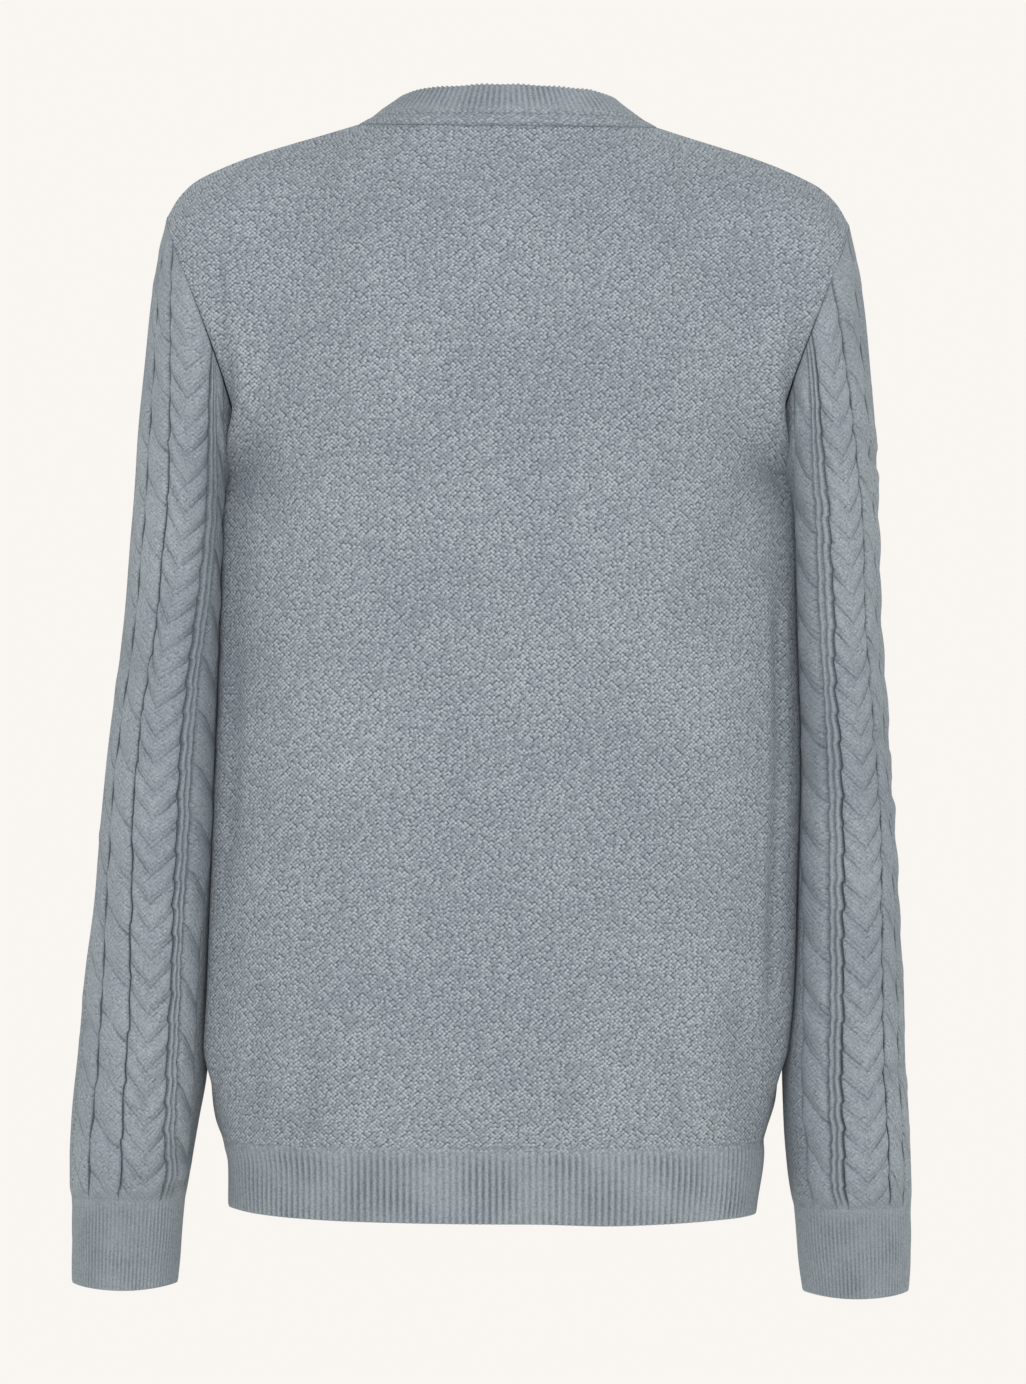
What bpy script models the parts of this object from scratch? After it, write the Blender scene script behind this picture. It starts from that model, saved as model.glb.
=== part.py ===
"""Cable knit cardigan, closed and filled out, as one wall of cloth per knitted piece.

Sizes are in millimetres and are turned into metres where a mesh is made. The garment is upright:
+Z up, its front faces +Y, the wearer's left is at -X, and the origin is the middle of the neck.
"""
import bmesh
import bpy
import numpy as np

MM = 0.001

# Cloth ------------------------------------------------------------------------------------------
WALL = 2.6            # thickness of the plain cloth
SEAM = 0.4            # gap between two pieces that are sewn together
RIB_RISE = 1.3        # how far a rib stands over its furrow

# Neck, shoulders and armholes ---------------------------------------------------------------------
NECK_HALF_WIDTH = 89.0
NECK_BACK_DEPTH = 62.0
NECK_BACK_DROP = 4.4
NECK_FRONT_DEPTH = 84.0
NECK_FRONT_DROP = 84.0
NECK_ROUND = 1.5              # 1 is a straight slope from the side of the neck, more starts flatter
COLLAR_HALF_WIDTH = 67.0      # upper edge of the neckband
COLLAR_BACK_DEPTH = 50.0
COLLAR_BACK_HEIGHT = 20.0
COLLAR_SIDE_HEIGHT = 11.0
COLLAR_FRONT_DEPTH = 66.0
COLLAR_FRONT_HEIGHT = -64.0
NECK_RIB_START = 0.34         # share of the neckband's width that is the plain linked strip

# Shoulder seam from neck to tip: distance from the middle, height.
SHOULDER = np.array([
    (89.0, 0.0), (110.0, -6.5), (131.0, -12.8), (152.0, -19.6),
    (172.0, -27.6), (188.0, -36.0), (198.0, -46.0), (204.5, -57.0)])

UNDERARM_X = 158.0
UNDERARM_Z = -210.0
ARMHOLE_PULL_LOW = (0.0, 225.0, 140.0)    # how the armhole leaves the underarm: x, depth, up
ARMHOLE_PULL_TOP = (0.0, 300.0, 40.0)     # how it comes in over the shoulder tip

# Body sections from underarm to hem seam.
# height, left edge, right edge, depth behind, depth in front
BODY = np.array([
    (-210.0, -158.0, 158.0, 112.0, 118.0),
    (-235.0, -165.5, 165.5, 113.0, 119.0),
    (-265.0, -167.8, 168.2, 113.0, 119.0),
    (-330.0, -169.0, 169.8, 112.0, 118.0),
    (-381.0, -171.0, 171.0, 111.0, 117.0),
    (-453.0, -173.8, 169.2, 110.5, 116.0),
    (-525.0, -176.4, 166.4, 110.5, 115.0),
    (-565.0, -178.4, 162.4, 110.5, 114.0),
    (-585.0, -177.4, 160.8, 109.0, 112.0),
    (-597.0, -175.6, 157.0, 106.0, 109.0),
    (-608.0, -171.0, 153.4, 101.5, 104.5),
    (-624.0, -167.2, 152.0, 100.0, 103.0),
    (-652.5, -166.4, 148.0, 98.0, 101.0)])
BODY_POWER = 2.35             # 2 is an ellipse, more is squarer
# The hem's free edge isn't level: distance from the middle, how far it is drawn up.
HEM_LIFT = np.array([
    (-180.0, 5.6), (-166.0, 4.6), (-150.0, 2.8), (-125.0, 1.4), (-95.0, 0.4),
    (-16.0, -0.6), (16.0, -0.8), (62.0, -2.2), (110.0, -1.2), (150.0, 0.4), (165.0, 1.0)])
HEM_RIB_PITCH = 3.9
HEM_EDGE_POINTS = 45          # points of the hem's plain edges and inside
HEM_SEAM_Z = -608.0
HEM_Z = -652.5
BODY_ROWS = (-235.0, -285.0, -380.0, -470.0, -535.0, -568.0, -586.0, -598.0)
YOKE_ROWS = 9
INNER_ROWS = (0, 1, 3, 5, 7, 8, 9, 11, 13, 15, 17, 18)    # those of a panel's rows that its inside keeps
SHOULDER_COLUMNS = 6
BACK_NECK_COLUMNS = 10
FRONT_NECK_COLUMNS = 6
SHOULDER_SHARE = 0.272        # of the chest row, under the shoulder seam
SIDE_SHARE = 0.2              # of the chest row, where a column still feels the armhole
CHEST_FULL = 30.0             # how far a column beside the armhole swells out over the chest
# The last pull of a column: its direction seen from above, its rise, and its length.
PULL_PLAN_TIP, PULL_PLAN_NECK, PULL_PLAN_BACK = 90.0, 62.0, 90.0
PULL_RISE_TIP, PULL_RISE_NECK, PULL_RISE_BACK = 11.0, 17.0, 64.0
PULL_LENGTH = 255.0
PULL_LENGTH_BACK = 0.82       # of the column's height, in the middle of the neck
PULL_STRAIGHT = 0.2           # share of the shoulder that is left before the direction turns
PULL_TURN_PLAN = (10.0, 80.0)     # angles round the neck between which each of them changes
PULL_TURN_RISE = (0.0, 85.0)
PULL_TURN_LENGTH = (0.0, 75.0)
NECK_CORNER = 0.05            # angle within which back and front share one outward direction
SEAM_SHARED = (0.15, 0.35)    # shares of the armhole between which sleeve and body come to one direction
BODY_CORE_Z = -250.0          # heights of points that are surely inside the body
PANEL_CORE_Z = -330.0

# Sleeve sections: height, outer edge, inner edge, half depth front to back.
SLEEVE_LEFT = np.array([
    (-235.0, 224.6, 168.6, 62.0),
    (-285.0, 228.4, 170.1, 62.5),
    (-333.0, 233.8, 171.4, 61.0),
    (-393.0, 241.2, 173.4, 58.0),
    (-453.0, 246.2, 175.7, 55.0),
    (-507.0, 252.4, 178.4, 52.0),
    (-567.0, 258.2, 181.2, 50.0),
    (-597.0, 260.8, 186.0, 48.5),
    (-620.0, 262.0, 190.0, 46.0),
    (-636.0, 262.0, 193.0, 41.5),
    (-643.0, 261.0, 194.5, 37.5)])
SLEEVE_RIGHT = np.array([
    (-235.0, 221.2, 168.6, 62.0),
    (-285.0, 222.4, 170.4, 62.5),
    (-333.0, 225.0, 172.0, 61.0),
    (-381.0, 228.2, 173.0, 59.0),
    (-453.0, 232.8, 171.4, 55.0),
    (-525.0, 236.6, 168.6, 52.0),
    (-567.0, 237.8, 165.2, 50.0),
    (-597.0, 239.4, 165.8, 48.5),
    (-625.0, 240.8, 168.0, 46.0),
    (-641.0, 241.2, 170.6, 41.5),
    (-648.0, 241.0, 172.4, 37.5)])
# Cuff sections: drop from the sleeve's end, outer edge, inner edge, half depth.
CUFF_LEFT = np.array([(0.0, 261.0, 194.5, 37.5), (25.0, 260.8, 196.5, 35.5), (54.0, 261.0, 199.0, 34.0)])
CUFF_RIGHT = np.array([(0.0, 241.0, 172.4, 37.5), (25.0, 241.0, 174.2, 35.5), (54.0, 239.8, 177.6, 34.0)])
CUFF_RIBS = 66
CUFF_DEEP = 54.0
CUFF_LIFT = 3.0               # how far the cuff's free edge is drawn up at its two sides
CUFF_EDGE_POINTS = 18
RIB_FADE = 2.0                # the last stretch of a rib, where it runs out into the edge
RIB_EDGE = 0.3                # how far that edge stands over the furrows

# Cables -----------------------------------------------------------------------------------------
CABLE_PERIOD = 33.0           # one repeat of the two ropes, two repeats of the horseshoe
CABLE_ZONE = 110.0            # from the sleeve's outermost line to the last groove
SLEEVE_HALF = 154.0           # outermost line to underarm seam, at the upper arm
PLAIN_RISE = 0.6
PLAIN_FROM_Z = -270.0         # above this the sleeve bends, so its plain columns have more points
POINT_ROOM = 0.45             # share of a step that a column's points keep from its ends
CABLE_START = 0.4             # share of the relief that is left at the cuff
CABLE_END = 0.35              # and at the armhole, from the second of these shares of it on
CABLE_END_FROM = (0.2, 0.4)
ZONE_LIMIT = 0.86             # of half the way round, that the cables may take on a narrow sleeve
SLEEVE_CORE_IN = 27.0         # a point surely inside the sleeve: beyond its inner edge,
SLEEVE_CORE_X = 197.0         # and for its upper end
CAP_LEAD = 12.0               # the cap goes on in the direction of this last stretch of the tube
# How far a column of the cap leans towards the body: distance round the sleeve, lean.
CAP_LEAN = np.array([(0.0, 0.2), (40.0, 0.12), (70.0, 0.02), (120.0, 0.2), (154.0, 0.3)])
CAP_TUCK = 0.12               # and how much it draws in to the middle of its depth
CAP_TUCK_REACH = 100.0
INNER_BEND = (12.0, 3.0)      # rows of the inside just under and over the bend of the sleeve
INNER_CAP_STEP = 40.0
# Columns of the sleeve, the same to the front and to the back of its outermost line:
# distance round the sleeve, slope of its stitches (mm up), rise of the cloth over one repeat.
SLEEVE_COLUMNS = (
    (0.0, 0.0, (1.0,)), (17.0, 0.0, (1.0,)), (19.0, 0.0, (0.0,)),
    (22.5, 3.5, (2.6, 1.8, 0.6, 1.8)), (28.0, 0.0, (3.2, 3.0, 1.0, 3.0)), (33.5, -3.5, (1.8, 2.6, 1.8, 0.6)),
    (38.0, 0.0, (0.0,)),
    (42.5, 3.5, (1.8, 0.6, 1.8, 2.6)), (48.5, 0.0, (3.0, 1.0, 3.0, 3.2)), (54.5, -3.5, (2.6, 1.8, 0.6, 1.8)),
    (59.5, 0.0, (0.0,)),
    (63.5, 3.5, (2.8, 1.3, 2.8, 1.3)), (72.0, -3.5, (2.6, 1.0, 2.6, 1.0)), (80.5, 3.5, (2.8, 1.3, 2.8, 1.3)),
    (84.5, 0.0, (0.0,)), (86.3, 0.0, (1.9,)), (88.4, 0.0, (0.6,)), (90.5, 0.0, (1.9,)), (92.5, 0.0, (0.0,)),
    (96.0, -3.0, (2.0, 1.0, 2.0, 1.0)), (101.0, 0.0, (3.0, 1.6, 3.0, 1.6)), (106.0, 3.0, (2.0, 1.0, 2.0, 1.0)),
    (110.0, 0.0, (0.0,)), (113.0, 0.0, (PLAIN_RISE,)), (132.0, 0.0, (PLAIN_RISE,)), (154.0, 0.0, (PLAIN_RISE,)))
SLEEVE_INNER = (0.0, 19.0, 38.0, 59.5, 72.0, 84.5, 96.0, 110.0, 132.0, 154.0)
SLEEVE_INNER_ROWS = 7
# Where a column of the sleeve meets the armhole: distance round the sleeve, share of the armhole.
CAP = np.array([
    (0.0, 1.0), (19.0, 0.96), (38.0, 0.915), (59.5, 0.855), (72.0, 0.69),
    (84.5, 0.53), (92.5, 0.45), (110.0, 0.31), (132.0, 0.15), (154.0, 0.0)])

# Closure ----------------------------------------------------------------------------------------
BAND_HALF = 15.0
BAND_RIBS = 8
LAP = WALL + 0.35             # the upper band and what leads up to it lie this much further out
LAP_RUN = 45.0
BUTTON_HEIGHTS = (-631.0, -524.0, -420.0, -316.0, -212.0, -108.0)
BUTTON_RADIUS = 10.0
BUTTON_THICK = 4.0
BUTTON_HOLE = 1.1
BUTTON_HOLE_OFFSET = 2.3
BUTTON_SIDES = 12
BUTTON_GAP = 0.6              # its thread holds it this far off the ribs
# Rings of a button, from its back: distance in from the rim, height.
BUTTON_RINGS = ((1.2, 0.0), (0.0, 1.6), (1.4, BUTTON_THICK), (4.2, BUTTON_THICK - 1.4))
BAND_RIB_RISE = 0.8 * RIB_RISE
NECK_RIB_PITCH = 3.6
NECK_RIB_END = 0.93           # share of the neckband's width at which its ribs run out

KNIT_COLOUR = (0.27, 0.31, 0.35, 1.0)
BUTTON_COLOUR = (0.17, 0.19, 0.22, 1.0)


# Curves -----------------------------------------------------------------------------------------
def smooth(table, at):
    """Rows of a table joined by a curve that never overshoots; the first column is the place."""
    order = np.argsort(table[:, 0])
    x, y = table[order, 0], table[order, 1:]
    h = np.diff(x)[:, None]
    step = np.diff(y, axis=0) / h
    slope = np.zeros_like(y)
    slope[0], slope[-1] = step[0], step[-1]
    w0 = 2.0 * h[1:] + h[:-1]
    w1 = h[1:] + 2.0 * h[:-1]
    same = step[:-1] * step[1:] > 0.0
    safe0 = np.where(same, step[:-1], 1.0)
    safe1 = np.where(same, step[1:], 1.0)
    slope[1:-1] = np.where(same, (w0 + w1) / (w0 / safe0 + w1 / safe1), 0.0)
    at = np.clip(np.atleast_1d(np.asarray(at, float)), x[0], x[-1])
    i = np.clip(np.searchsorted(x, at) - 1, 0, len(x) - 2)
    t = ((at - x[i]) / (x[i + 1] - x[i]))[:, None]
    return hermite(y[i], y[i + 1], slope[i] * h[i], slope[i + 1] * h[i], t)


def hermite(p0, p1, m0, m1, t):
    """Cubic from p0 to p1 that leaves along m0 and arrives along m1."""
    return ((1 + 2 * t) * (1 - t) ** 2 * p0 + t * t * (3 - 2 * t) * p1
            + t * (1 - t) ** 2 * m0 + t * t * (t - 1) * m1)


def ease(t):
    t = np.clip(t, 0.0, 1.0)
    return t * t * (3.0 - 2.0 * t)


def between(start, end, at, span):
    """A soft change from start to end while at crosses the span."""
    return start + (end - start) * ease((at - span[0]) / (span[1] - span[0]))


def unit(v):
    return v / np.maximum(np.linalg.norm(v, axis=-1, keepdims=True), 1e-9)


def along(points, shares):
    """Points at the given shares of a polyline's length."""
    run = np.concatenate([[0.0], np.cumsum(np.linalg.norm(np.diff(points, axis=0), axis=1))])
    want = np.asarray(shares) * run[-1]
    return np.stack([np.interp(want, run, points[:, k]) for k in range(3)], axis=1)


# Body surface -----------------------------------------------------------------------------------
def section(z, facing, shares, mirror=False):
    """Half a body section at one height, from the left side round the back (-1) or front (+1)."""
    left, right, behind, ahead = smooth(BODY, z)[0]
    if mirror:
        left, right = -right, -left
    a = np.linspace(0.0, np.pi, 241)
    depth = behind if facing < 0 else ahead
    x = (left + right) / 2 - (right - left) / 2 * np.sign(np.cos(a)) * np.abs(np.cos(a)) ** (2 / BODY_POWER)
    y = facing * depth * np.sin(a) ** (2 / BODY_POWER)
    return along(np.stack([x, y, np.full_like(a, z)], axis=1), shares)


def armhole(side, facing, t):
    """Armhole edge from underarm (0) to shoulder tip (1); side is -1 left, +1 right."""
    t = np.atleast_1d(t)[:, None]
    low = np.array([side * UNDERARM_X, 0.0, UNDERARM_Z])
    tip = np.array([side * SHOULDER[-1, 0], 0.0, SHOULDER[-1, 1]])
    m0 = np.array([0.0, facing * ARMHOLE_PULL_LOW[1], ARMHOLE_PULL_LOW[2]])
    m1 = np.array([0.0, -facing * ARMHOLE_PULL_TOP[1], ARMHOLE_PULL_TOP[2]])
    return hermite(low, tip, m0, m1, t)


def neck_seam(angle, facing):
    """Where the neckband is linked on; angle 0 is the wearer's left, pi the right."""
    x = -NECK_HALF_WIDTH * np.cos(angle)
    s = np.sin(angle)
    if facing < 0:
        return np.stack([x, -NECK_BACK_DEPTH * s, -NECK_BACK_DROP * s], axis=-1)
    return np.stack([x, NECK_FRONT_DEPTH * s, -NECK_FRONT_DROP * s ** NECK_ROUND], axis=-1)


def collar_edge(angle, facing):
    """Free upper edge of the neckband."""
    x = -COLLAR_HALF_WIDTH * np.cos(angle)
    s = np.sin(angle)
    if facing < 0:
        rise = COLLAR_SIDE_HEIGHT + (COLLAR_BACK_HEIGHT - COLLAR_SIDE_HEIGHT) * s
        return np.stack([x, -COLLAR_BACK_DEPTH * s, rise], axis=-1)
    seam_x = -NECK_HALF_WIDTH * np.cos(angle)
    narrow = ease((np.abs(seam_x) - BAND_HALF - SEAM) / LAP_RUN)
    x = seam_x * (1.0 - narrow) + x * narrow
    drop = COLLAR_SIDE_HEIGHT + (COLLAR_FRONT_HEIGHT - COLLAR_SIDE_HEIGHT) * s ** NECK_ROUND
    return np.stack([x, COLLAR_FRONT_DEPTH * s, drop], axis=-1)


def shoulder(side, share):
    """Shoulder seam; share 0 is the tip, 1 the neck."""
    line = np.stack([side * SHOULDER[::-1, 0], 0 * SHOULDER[::-1, 0], SHOULDER[::-1, 1]], axis=1)
    fine = np.linspace(0.0, 1.0, 60)
    keys = np.linspace(0.0, 1.0, len(line))
    dense = smooth(np.column_stack([keys, line]), fine)
    return along(dense, np.atleast_1d(share))


def neck_angles(facing):
    """Angles of the columns that end in the neck, from the left; the fronts stop at their band."""
    if facing < 0:
        return np.linspace(0.0, np.pi, BACK_NECK_COLUMNS + 1)
    stop = np.arccos((BAND_HALF + SEAM) / NECK_HALF_WIDTH)
    return np.linspace(0.0, stop, FRONT_NECK_COLUMNS + 1)


def panel_top(facing):
    """Upper ends of a panel's columns: shoulder seam, then the neck; fronts are built on the left."""
    share = np.linspace(0.0, 1.0, SHOULDER_COLUMNS + 1)
    tops = [shoulder(-1, share), neck_seam(neck_angles(facing)[1:], facing)]
    if facing < 0:
        tops.append(shoulder(1, share[::-1])[1:])
    return np.concatenate(tops)


def panel_shares(facing):
    """Where the same columns cross the chest row, as shares of the half section."""
    under = np.linspace(0.0, SHOULDER_SHARE, SHOULDER_COLUMNS + 1)
    if facing < 0:
        middle = np.linspace(SHOULDER_SHARE, 1.0 - SHOULDER_SHARE, BACK_NECK_COLUMNS + 1)[1:]
        return np.concatenate([under, middle, 1.0 - under[::-1][1:]])
    stop = band_share(UNDERARM_Z)
    return np.concatenate([under, np.linspace(SHOULDER_SHARE, stop, FRONT_NECK_COLUMNS + 1)[1:]])


def band_share(z, mirror=False):
    """Share of the front half section at which the front meets its band."""
    dense = np.linspace(0.0, 0.6, 480)
    x = section(z, 1, dense, mirror)[:, 0]
    return float(np.interp(-(BAND_HALF + SEAM), x, dense))


def top_pull(facing, index, height):
    """How a panel's column comes in at its upper end: over the shoulder, or up to the neck."""
    last = 2 * SHOULDER_COLUMNS + BACK_NECK_COLUMNS if facing < 0 else None
    turn = 1.0
    if last is not None and index > last / 2:
        index = last - index
        turn = -1.0
    if index <= SHOULDER_COLUMNS:
        share = index / SHOULDER_COLUMNS
        turned = ease((share - PULL_STRAIGHT) / (1.0 - PULL_STRAIGHT))
        plan = PULL_PLAN_TIP + (PULL_PLAN_NECK - PULL_PLAN_TIP) * turned
        rise = PULL_RISE_TIP + (PULL_RISE_NECK - PULL_RISE_TIP) * ease(share)
        length = PULL_LENGTH
    else:
        angle = np.degrees(neck_angles(facing)[index - SHOULDER_COLUMNS])
        plan = between(PULL_PLAN_NECK, PULL_PLAN_BACK, angle, PULL_TURN_PLAN)
        rise = between(PULL_RISE_NECK, PULL_RISE_BACK, angle, PULL_TURN_RISE)
        length = between(PULL_LENGTH, PULL_LENGTH_BACK * height, angle, PULL_TURN_LENGTH)
    plan, rise = np.radians(plan), np.radians(rise)
    flat = length * np.cos(rise)
    return np.array([turn * flat * np.cos(plan), -facing * flat * np.sin(plan), length * np.sin(rise)])


def yoke(facing, index, v):
    """Column number index of a panel, from the chest row (v 0) up to its end (v 1)."""
    share = panel_shares(facing)[index]
    top = panel_top(facing)[index]
    chest = section(UNDERARM_Z, facing, [share])[0]
    edge = min(share, 1.0 - share) if facing < 0 else share
    side_weight = 1.0 - ease(edge / SIDE_SHARE)
    neck_weight = ease((edge - SIDE_SHARE) / SIDE_SHARE)
    height = top[2] - UNDERARM_Z
    low_edge = np.array([0.0, facing * ARMHOLE_PULL_LOW[1], ARMHOLE_PULL_LOW[2]])
    top_edge = np.array([0.0, -facing * ARMHOLE_PULL_TOP[1], ARMHOLE_PULL_TOP[2]])
    low_mid = np.array([0.0, facing * CHEST_FULL * (1 - neck_weight), height])
    m0 = low_edge * side_weight + low_mid * (1 - side_weight)
    m1 = top_edge * side_weight + top_pull(facing, index, height) * (1 - side_weight)
    return hermite(chest, top, m0, m1, np.atleast_1d(v)[:, None])


def neck_normal(angle, facing):
    """Outward direction shared by a panel and the neckband where they are linked."""
    if min(angle, np.pi - angle) < NECK_CORNER:
        left = angle < np.pi / 2
        side = -1.0 if left else 1.0
        inner_angle = 1.2 * NECK_CORNER if left else np.pi - 1.2 * NECK_CORNER
        both = neck_normal(inner_angle, -1) + neck_normal(inner_angle, 1)
        return unit(np.array([side * abs(both[0]), 0.0, both[2]]))
    step = 0.02
    seam = neck_seam(np.array([angle - step, angle, angle + step]), facing)
    edge = collar_edge(np.array([angle]), facing)[0]
    round_seam = unit(seam[2] - seam[0])
    n = unit(np.cross(round_seam, unit(edge - seam[1])))
    return n if n[1] * facing > 0 or n[2] > 0.5 else -n


def lap(x, y):
    """How far the right front is carried out over the left one."""
    climb = ease((BAND_HALF + LAP_RUN - x) / LAP_RUN)
    return np.where((np.asarray(x) > 0) & (np.asarray(y) > 0), LAP * climb, 0.0)


# Meshes -----------------------------------------------------------------------------------------
def zipper(first, second, at_first, at_second, faces):
    """Triangles between two rows of vertices that need not match."""
    i = j = 0
    while i < len(first) - 1 or j < len(second) - 1:
        step_first = j == len(second) - 1 or (
            i < len(first) - 1 and at_first[i + 1] + at_first[i] <= at_second[j + 1] + at_second[j])
        if step_first:
            faces.append((first[i], first[i + 1], second[j]))
            i += 1
        else:
            faces.append((first[i], second[j + 1], second[j]))
            j += 1


def spread(columns, places, ring, verts, faces):
    """One side of a wall from columns of points; returns the vertex numbers per column."""
    ids = []
    heights = []
    for column in columns:
        start = len(verts)
        verts.extend([tuple(p) for p in column])
        ids.append(list(range(start, start + len(column))))
        run = np.concatenate([[0.0], np.cumsum(np.linalg.norm(np.diff(column, axis=0), axis=1))])
        heights.append(run / run[-1])
    count = len(columns)
    for k in range(count if ring else count - 1):
        n = (k + 1) % count
        zipper(ids[k], ids[n], heights[k], heights[n], faces)
    return ids, heights, list(places)


def rim(outer, inner, end, ring, faces):
    """Closes a wall along the ends of its columns; end is 0 for the lower, -1 for the upper."""
    a = [c[end] for c in outer[0]]
    b = [c[end] for c in inner[0]]
    at_a = list(outer[2])
    at_b = list(inner[2])
    if ring:
        a.append(a[0])
        b.append(b[0])
        at_a.append(1.0)
        at_b.append(1.0)
    zipper(a, b, at_a, at_b, faces)


def wall(name, outer, outer_at, inner, inner_at, ring, material):
    """A closed wall of cloth from outer and inner columns; a ring's columns go all round."""
    verts = []
    faces = []
    front = spread(outer, outer_at, ring, verts, faces)
    back = spread(inner, inner_at, ring, verts, faces)
    rim(front, back, 0, ring, faces)
    rim(front, back, -1, ring, faces)
    if not ring:
        for k in (0, -1):
            zipper(front[0][k], back[0][k], front[1][k], back[1][k], faces)
    return solid(name, verts, faces, material)


def solid(name, verts, faces, material):
    mesh = bpy.data.meshes.new(name)
    mesh.from_pydata([(x * MM, y * MM, z * MM) for x, y, z in verts], [], faces)
    bm = bmesh.new()
    bm.from_mesh(mesh)
    bmesh.ops.recalc_face_normals(bm, faces=bm.faces)
    bm.to_mesh(mesh)
    bm.free()
    obj = bpy.data.objects.new(name, mesh)
    bpy.context.scene.collection.objects.link(obj)
    mesh.materials.append(material)
    return obj


def grid_normals(points, outward):
    """Unit normals of a grid of points [column, row], turned to agree with outward."""
    across = np.gradient(points, axis=0)
    up = np.gradient(points, axis=1)
    n = unit(np.cross(across, up))
    flip = np.sum(n * outward, axis=-1, keepdims=True) < 0
    return np.where(flip, -n, n)


# Panels -----------------------------------------------------------------------------------------
def panel_grid(facing, mirror):
    """All base points of a panel as [column, row], and how many rows lie under the chest row."""
    rows = [HEM_SEAM_Z] + list(BODY_ROWS[::-1])
    v = np.linspace(0.0, 1.0, YOKE_ROWS + 1)
    shares = panel_shares(facing)
    low = []
    for z in rows:
        reach = band_share(z, mirror) / shares[-1] if facing > 0 else 1.0
        low.append(section(z, facing, shares * reach, mirror))
    low = np.array(low).transpose(1, 0, 2)
    high = np.array([yoke(facing, k, v) for k in range(len(shares))])
    return np.concatenate([low, high], axis=1), len(rows)


def panel_normals(points, facing, low_rows):
    """Outward directions, made to agree with the neighbours along side, shoulder and neck."""
    middle = np.array([0.0, 0.0, PANEL_CORE_Z])
    n = grid_normals(points, points - middle)
    count = len(points)
    angles = neck_angles(facing)
    for k in range(count):
        in_neck = k - SHOULDER_COLUMNS
        if 0 <= in_neck < len(angles):
            n[k, -1] = neck_normal(angles[in_neck], facing)
        else:
            n[k, -1, 1] = 0.0
            n[k, -1] = unit(n[k, -1])
    for k in ((0, count - 1) if facing < 0 else (0,)):
        n[k, :low_rows + 1, 1:] = 0.0
        n[k, :low_rows + 1] = unit(n[k, :low_rows + 1])
    return n


def armhole_frame(side, facing, t):
    """Point, outward direction of the body's edge and of the sleeve's edge, shared high up."""
    t = np.atleast_1d(t)
    p = armhole(side, facing, t)
    body = armhole_body_normal(side, facing, t)
    sleeve = armhole_sleeve_normal(side, facing, t)
    both = unit(body + sleeve)
    share = between(0.0, 1.0, t, SEAM_SHARED)[:, None]
    return p, unit(body * (1 - share) + both * share), unit(sleeve * (1 - share) + both * share)


def armhole_body_normal(side, facing, t):
    """Outward direction of the panel along its armhole edge."""
    fine = np.linspace(0.0, 1.0, 41)
    edge = yoke(facing, 0, fine)
    next_to = yoke(facing, 1, fine)
    edge[:, 0] *= -side
    next_to[:, 0] *= -side
    up = np.gradient(edge, axis=0)
    across = next_to - edge
    n = unit(np.cross(up, across))
    n = np.where(np.sum(n * (edge - np.array([0.0, 0.0, BODY_CORE_Z])), axis=1, keepdims=True) < 0, -n, n)
    n[0] = n[1]
    return unit(np.stack([np.interp(t, fine, n[:, k]) for k in range(3)], axis=1))


def armhole_sleeve_normal(side, facing, t):
    """Outward direction of the sleeve along the same edge."""
    order = np.argsort(CAP[:, 1])
    c = np.interp(t, CAP[order, 1], CAP[order, 0])
    normals = []
    for value in c:
        z_top = sleeve_top(side, facing, value)
        p = sleeve_point(side, facing, value, z_top - 1.5)
        down = sleeve_point(side, facing, value, z_top - 4.5) - p
        if value < SLEEVE_HALF - 2.0:
            round_it = sleeve_point(side, facing, value + 1.0, z_top - 4.5)
            round_it = round_it - sleeve_point(side, facing, value, z_top - 4.5)
        else:
            round_it = np.array([0.0, -facing, 0.0])
        if value < 1.0:
            round_it = np.array([0.0, facing, 0.0])
        n = unit(np.cross(down, round_it))
        centre = np.array([side * SLEEVE_CORE_X, 0.0, p[2]])
        normals.append(n if np.dot(n, p - centre) > 0 else -n)
    return np.array(normals)


def edge_column(facing, side, grid, normals, low_rows, cap_shares, depth):
    """A panel's outermost column: its lower rows, then the armhole at the sleeve's own places."""
    k = 0 if side < 0 else -1
    low = grid[k, :low_rows] - normals[k, :low_rows] * depth
    low[:, 1] = facing * SEAM / 2
    t = np.asarray(cap_shares)
    p, n, _ = armhole_frame(side, facing, t)
    inward = unit(yoke(facing, 1, t) - yoke(facing, 0, t))
    inward[:, 0] *= -side
    high = p + inward * SEAM / 2 - n * depth
    high[0, 1] = facing * SEAM / 2
    high[-1, 1] = facing * SEAM / 2
    return np.concatenate([low, high])


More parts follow.
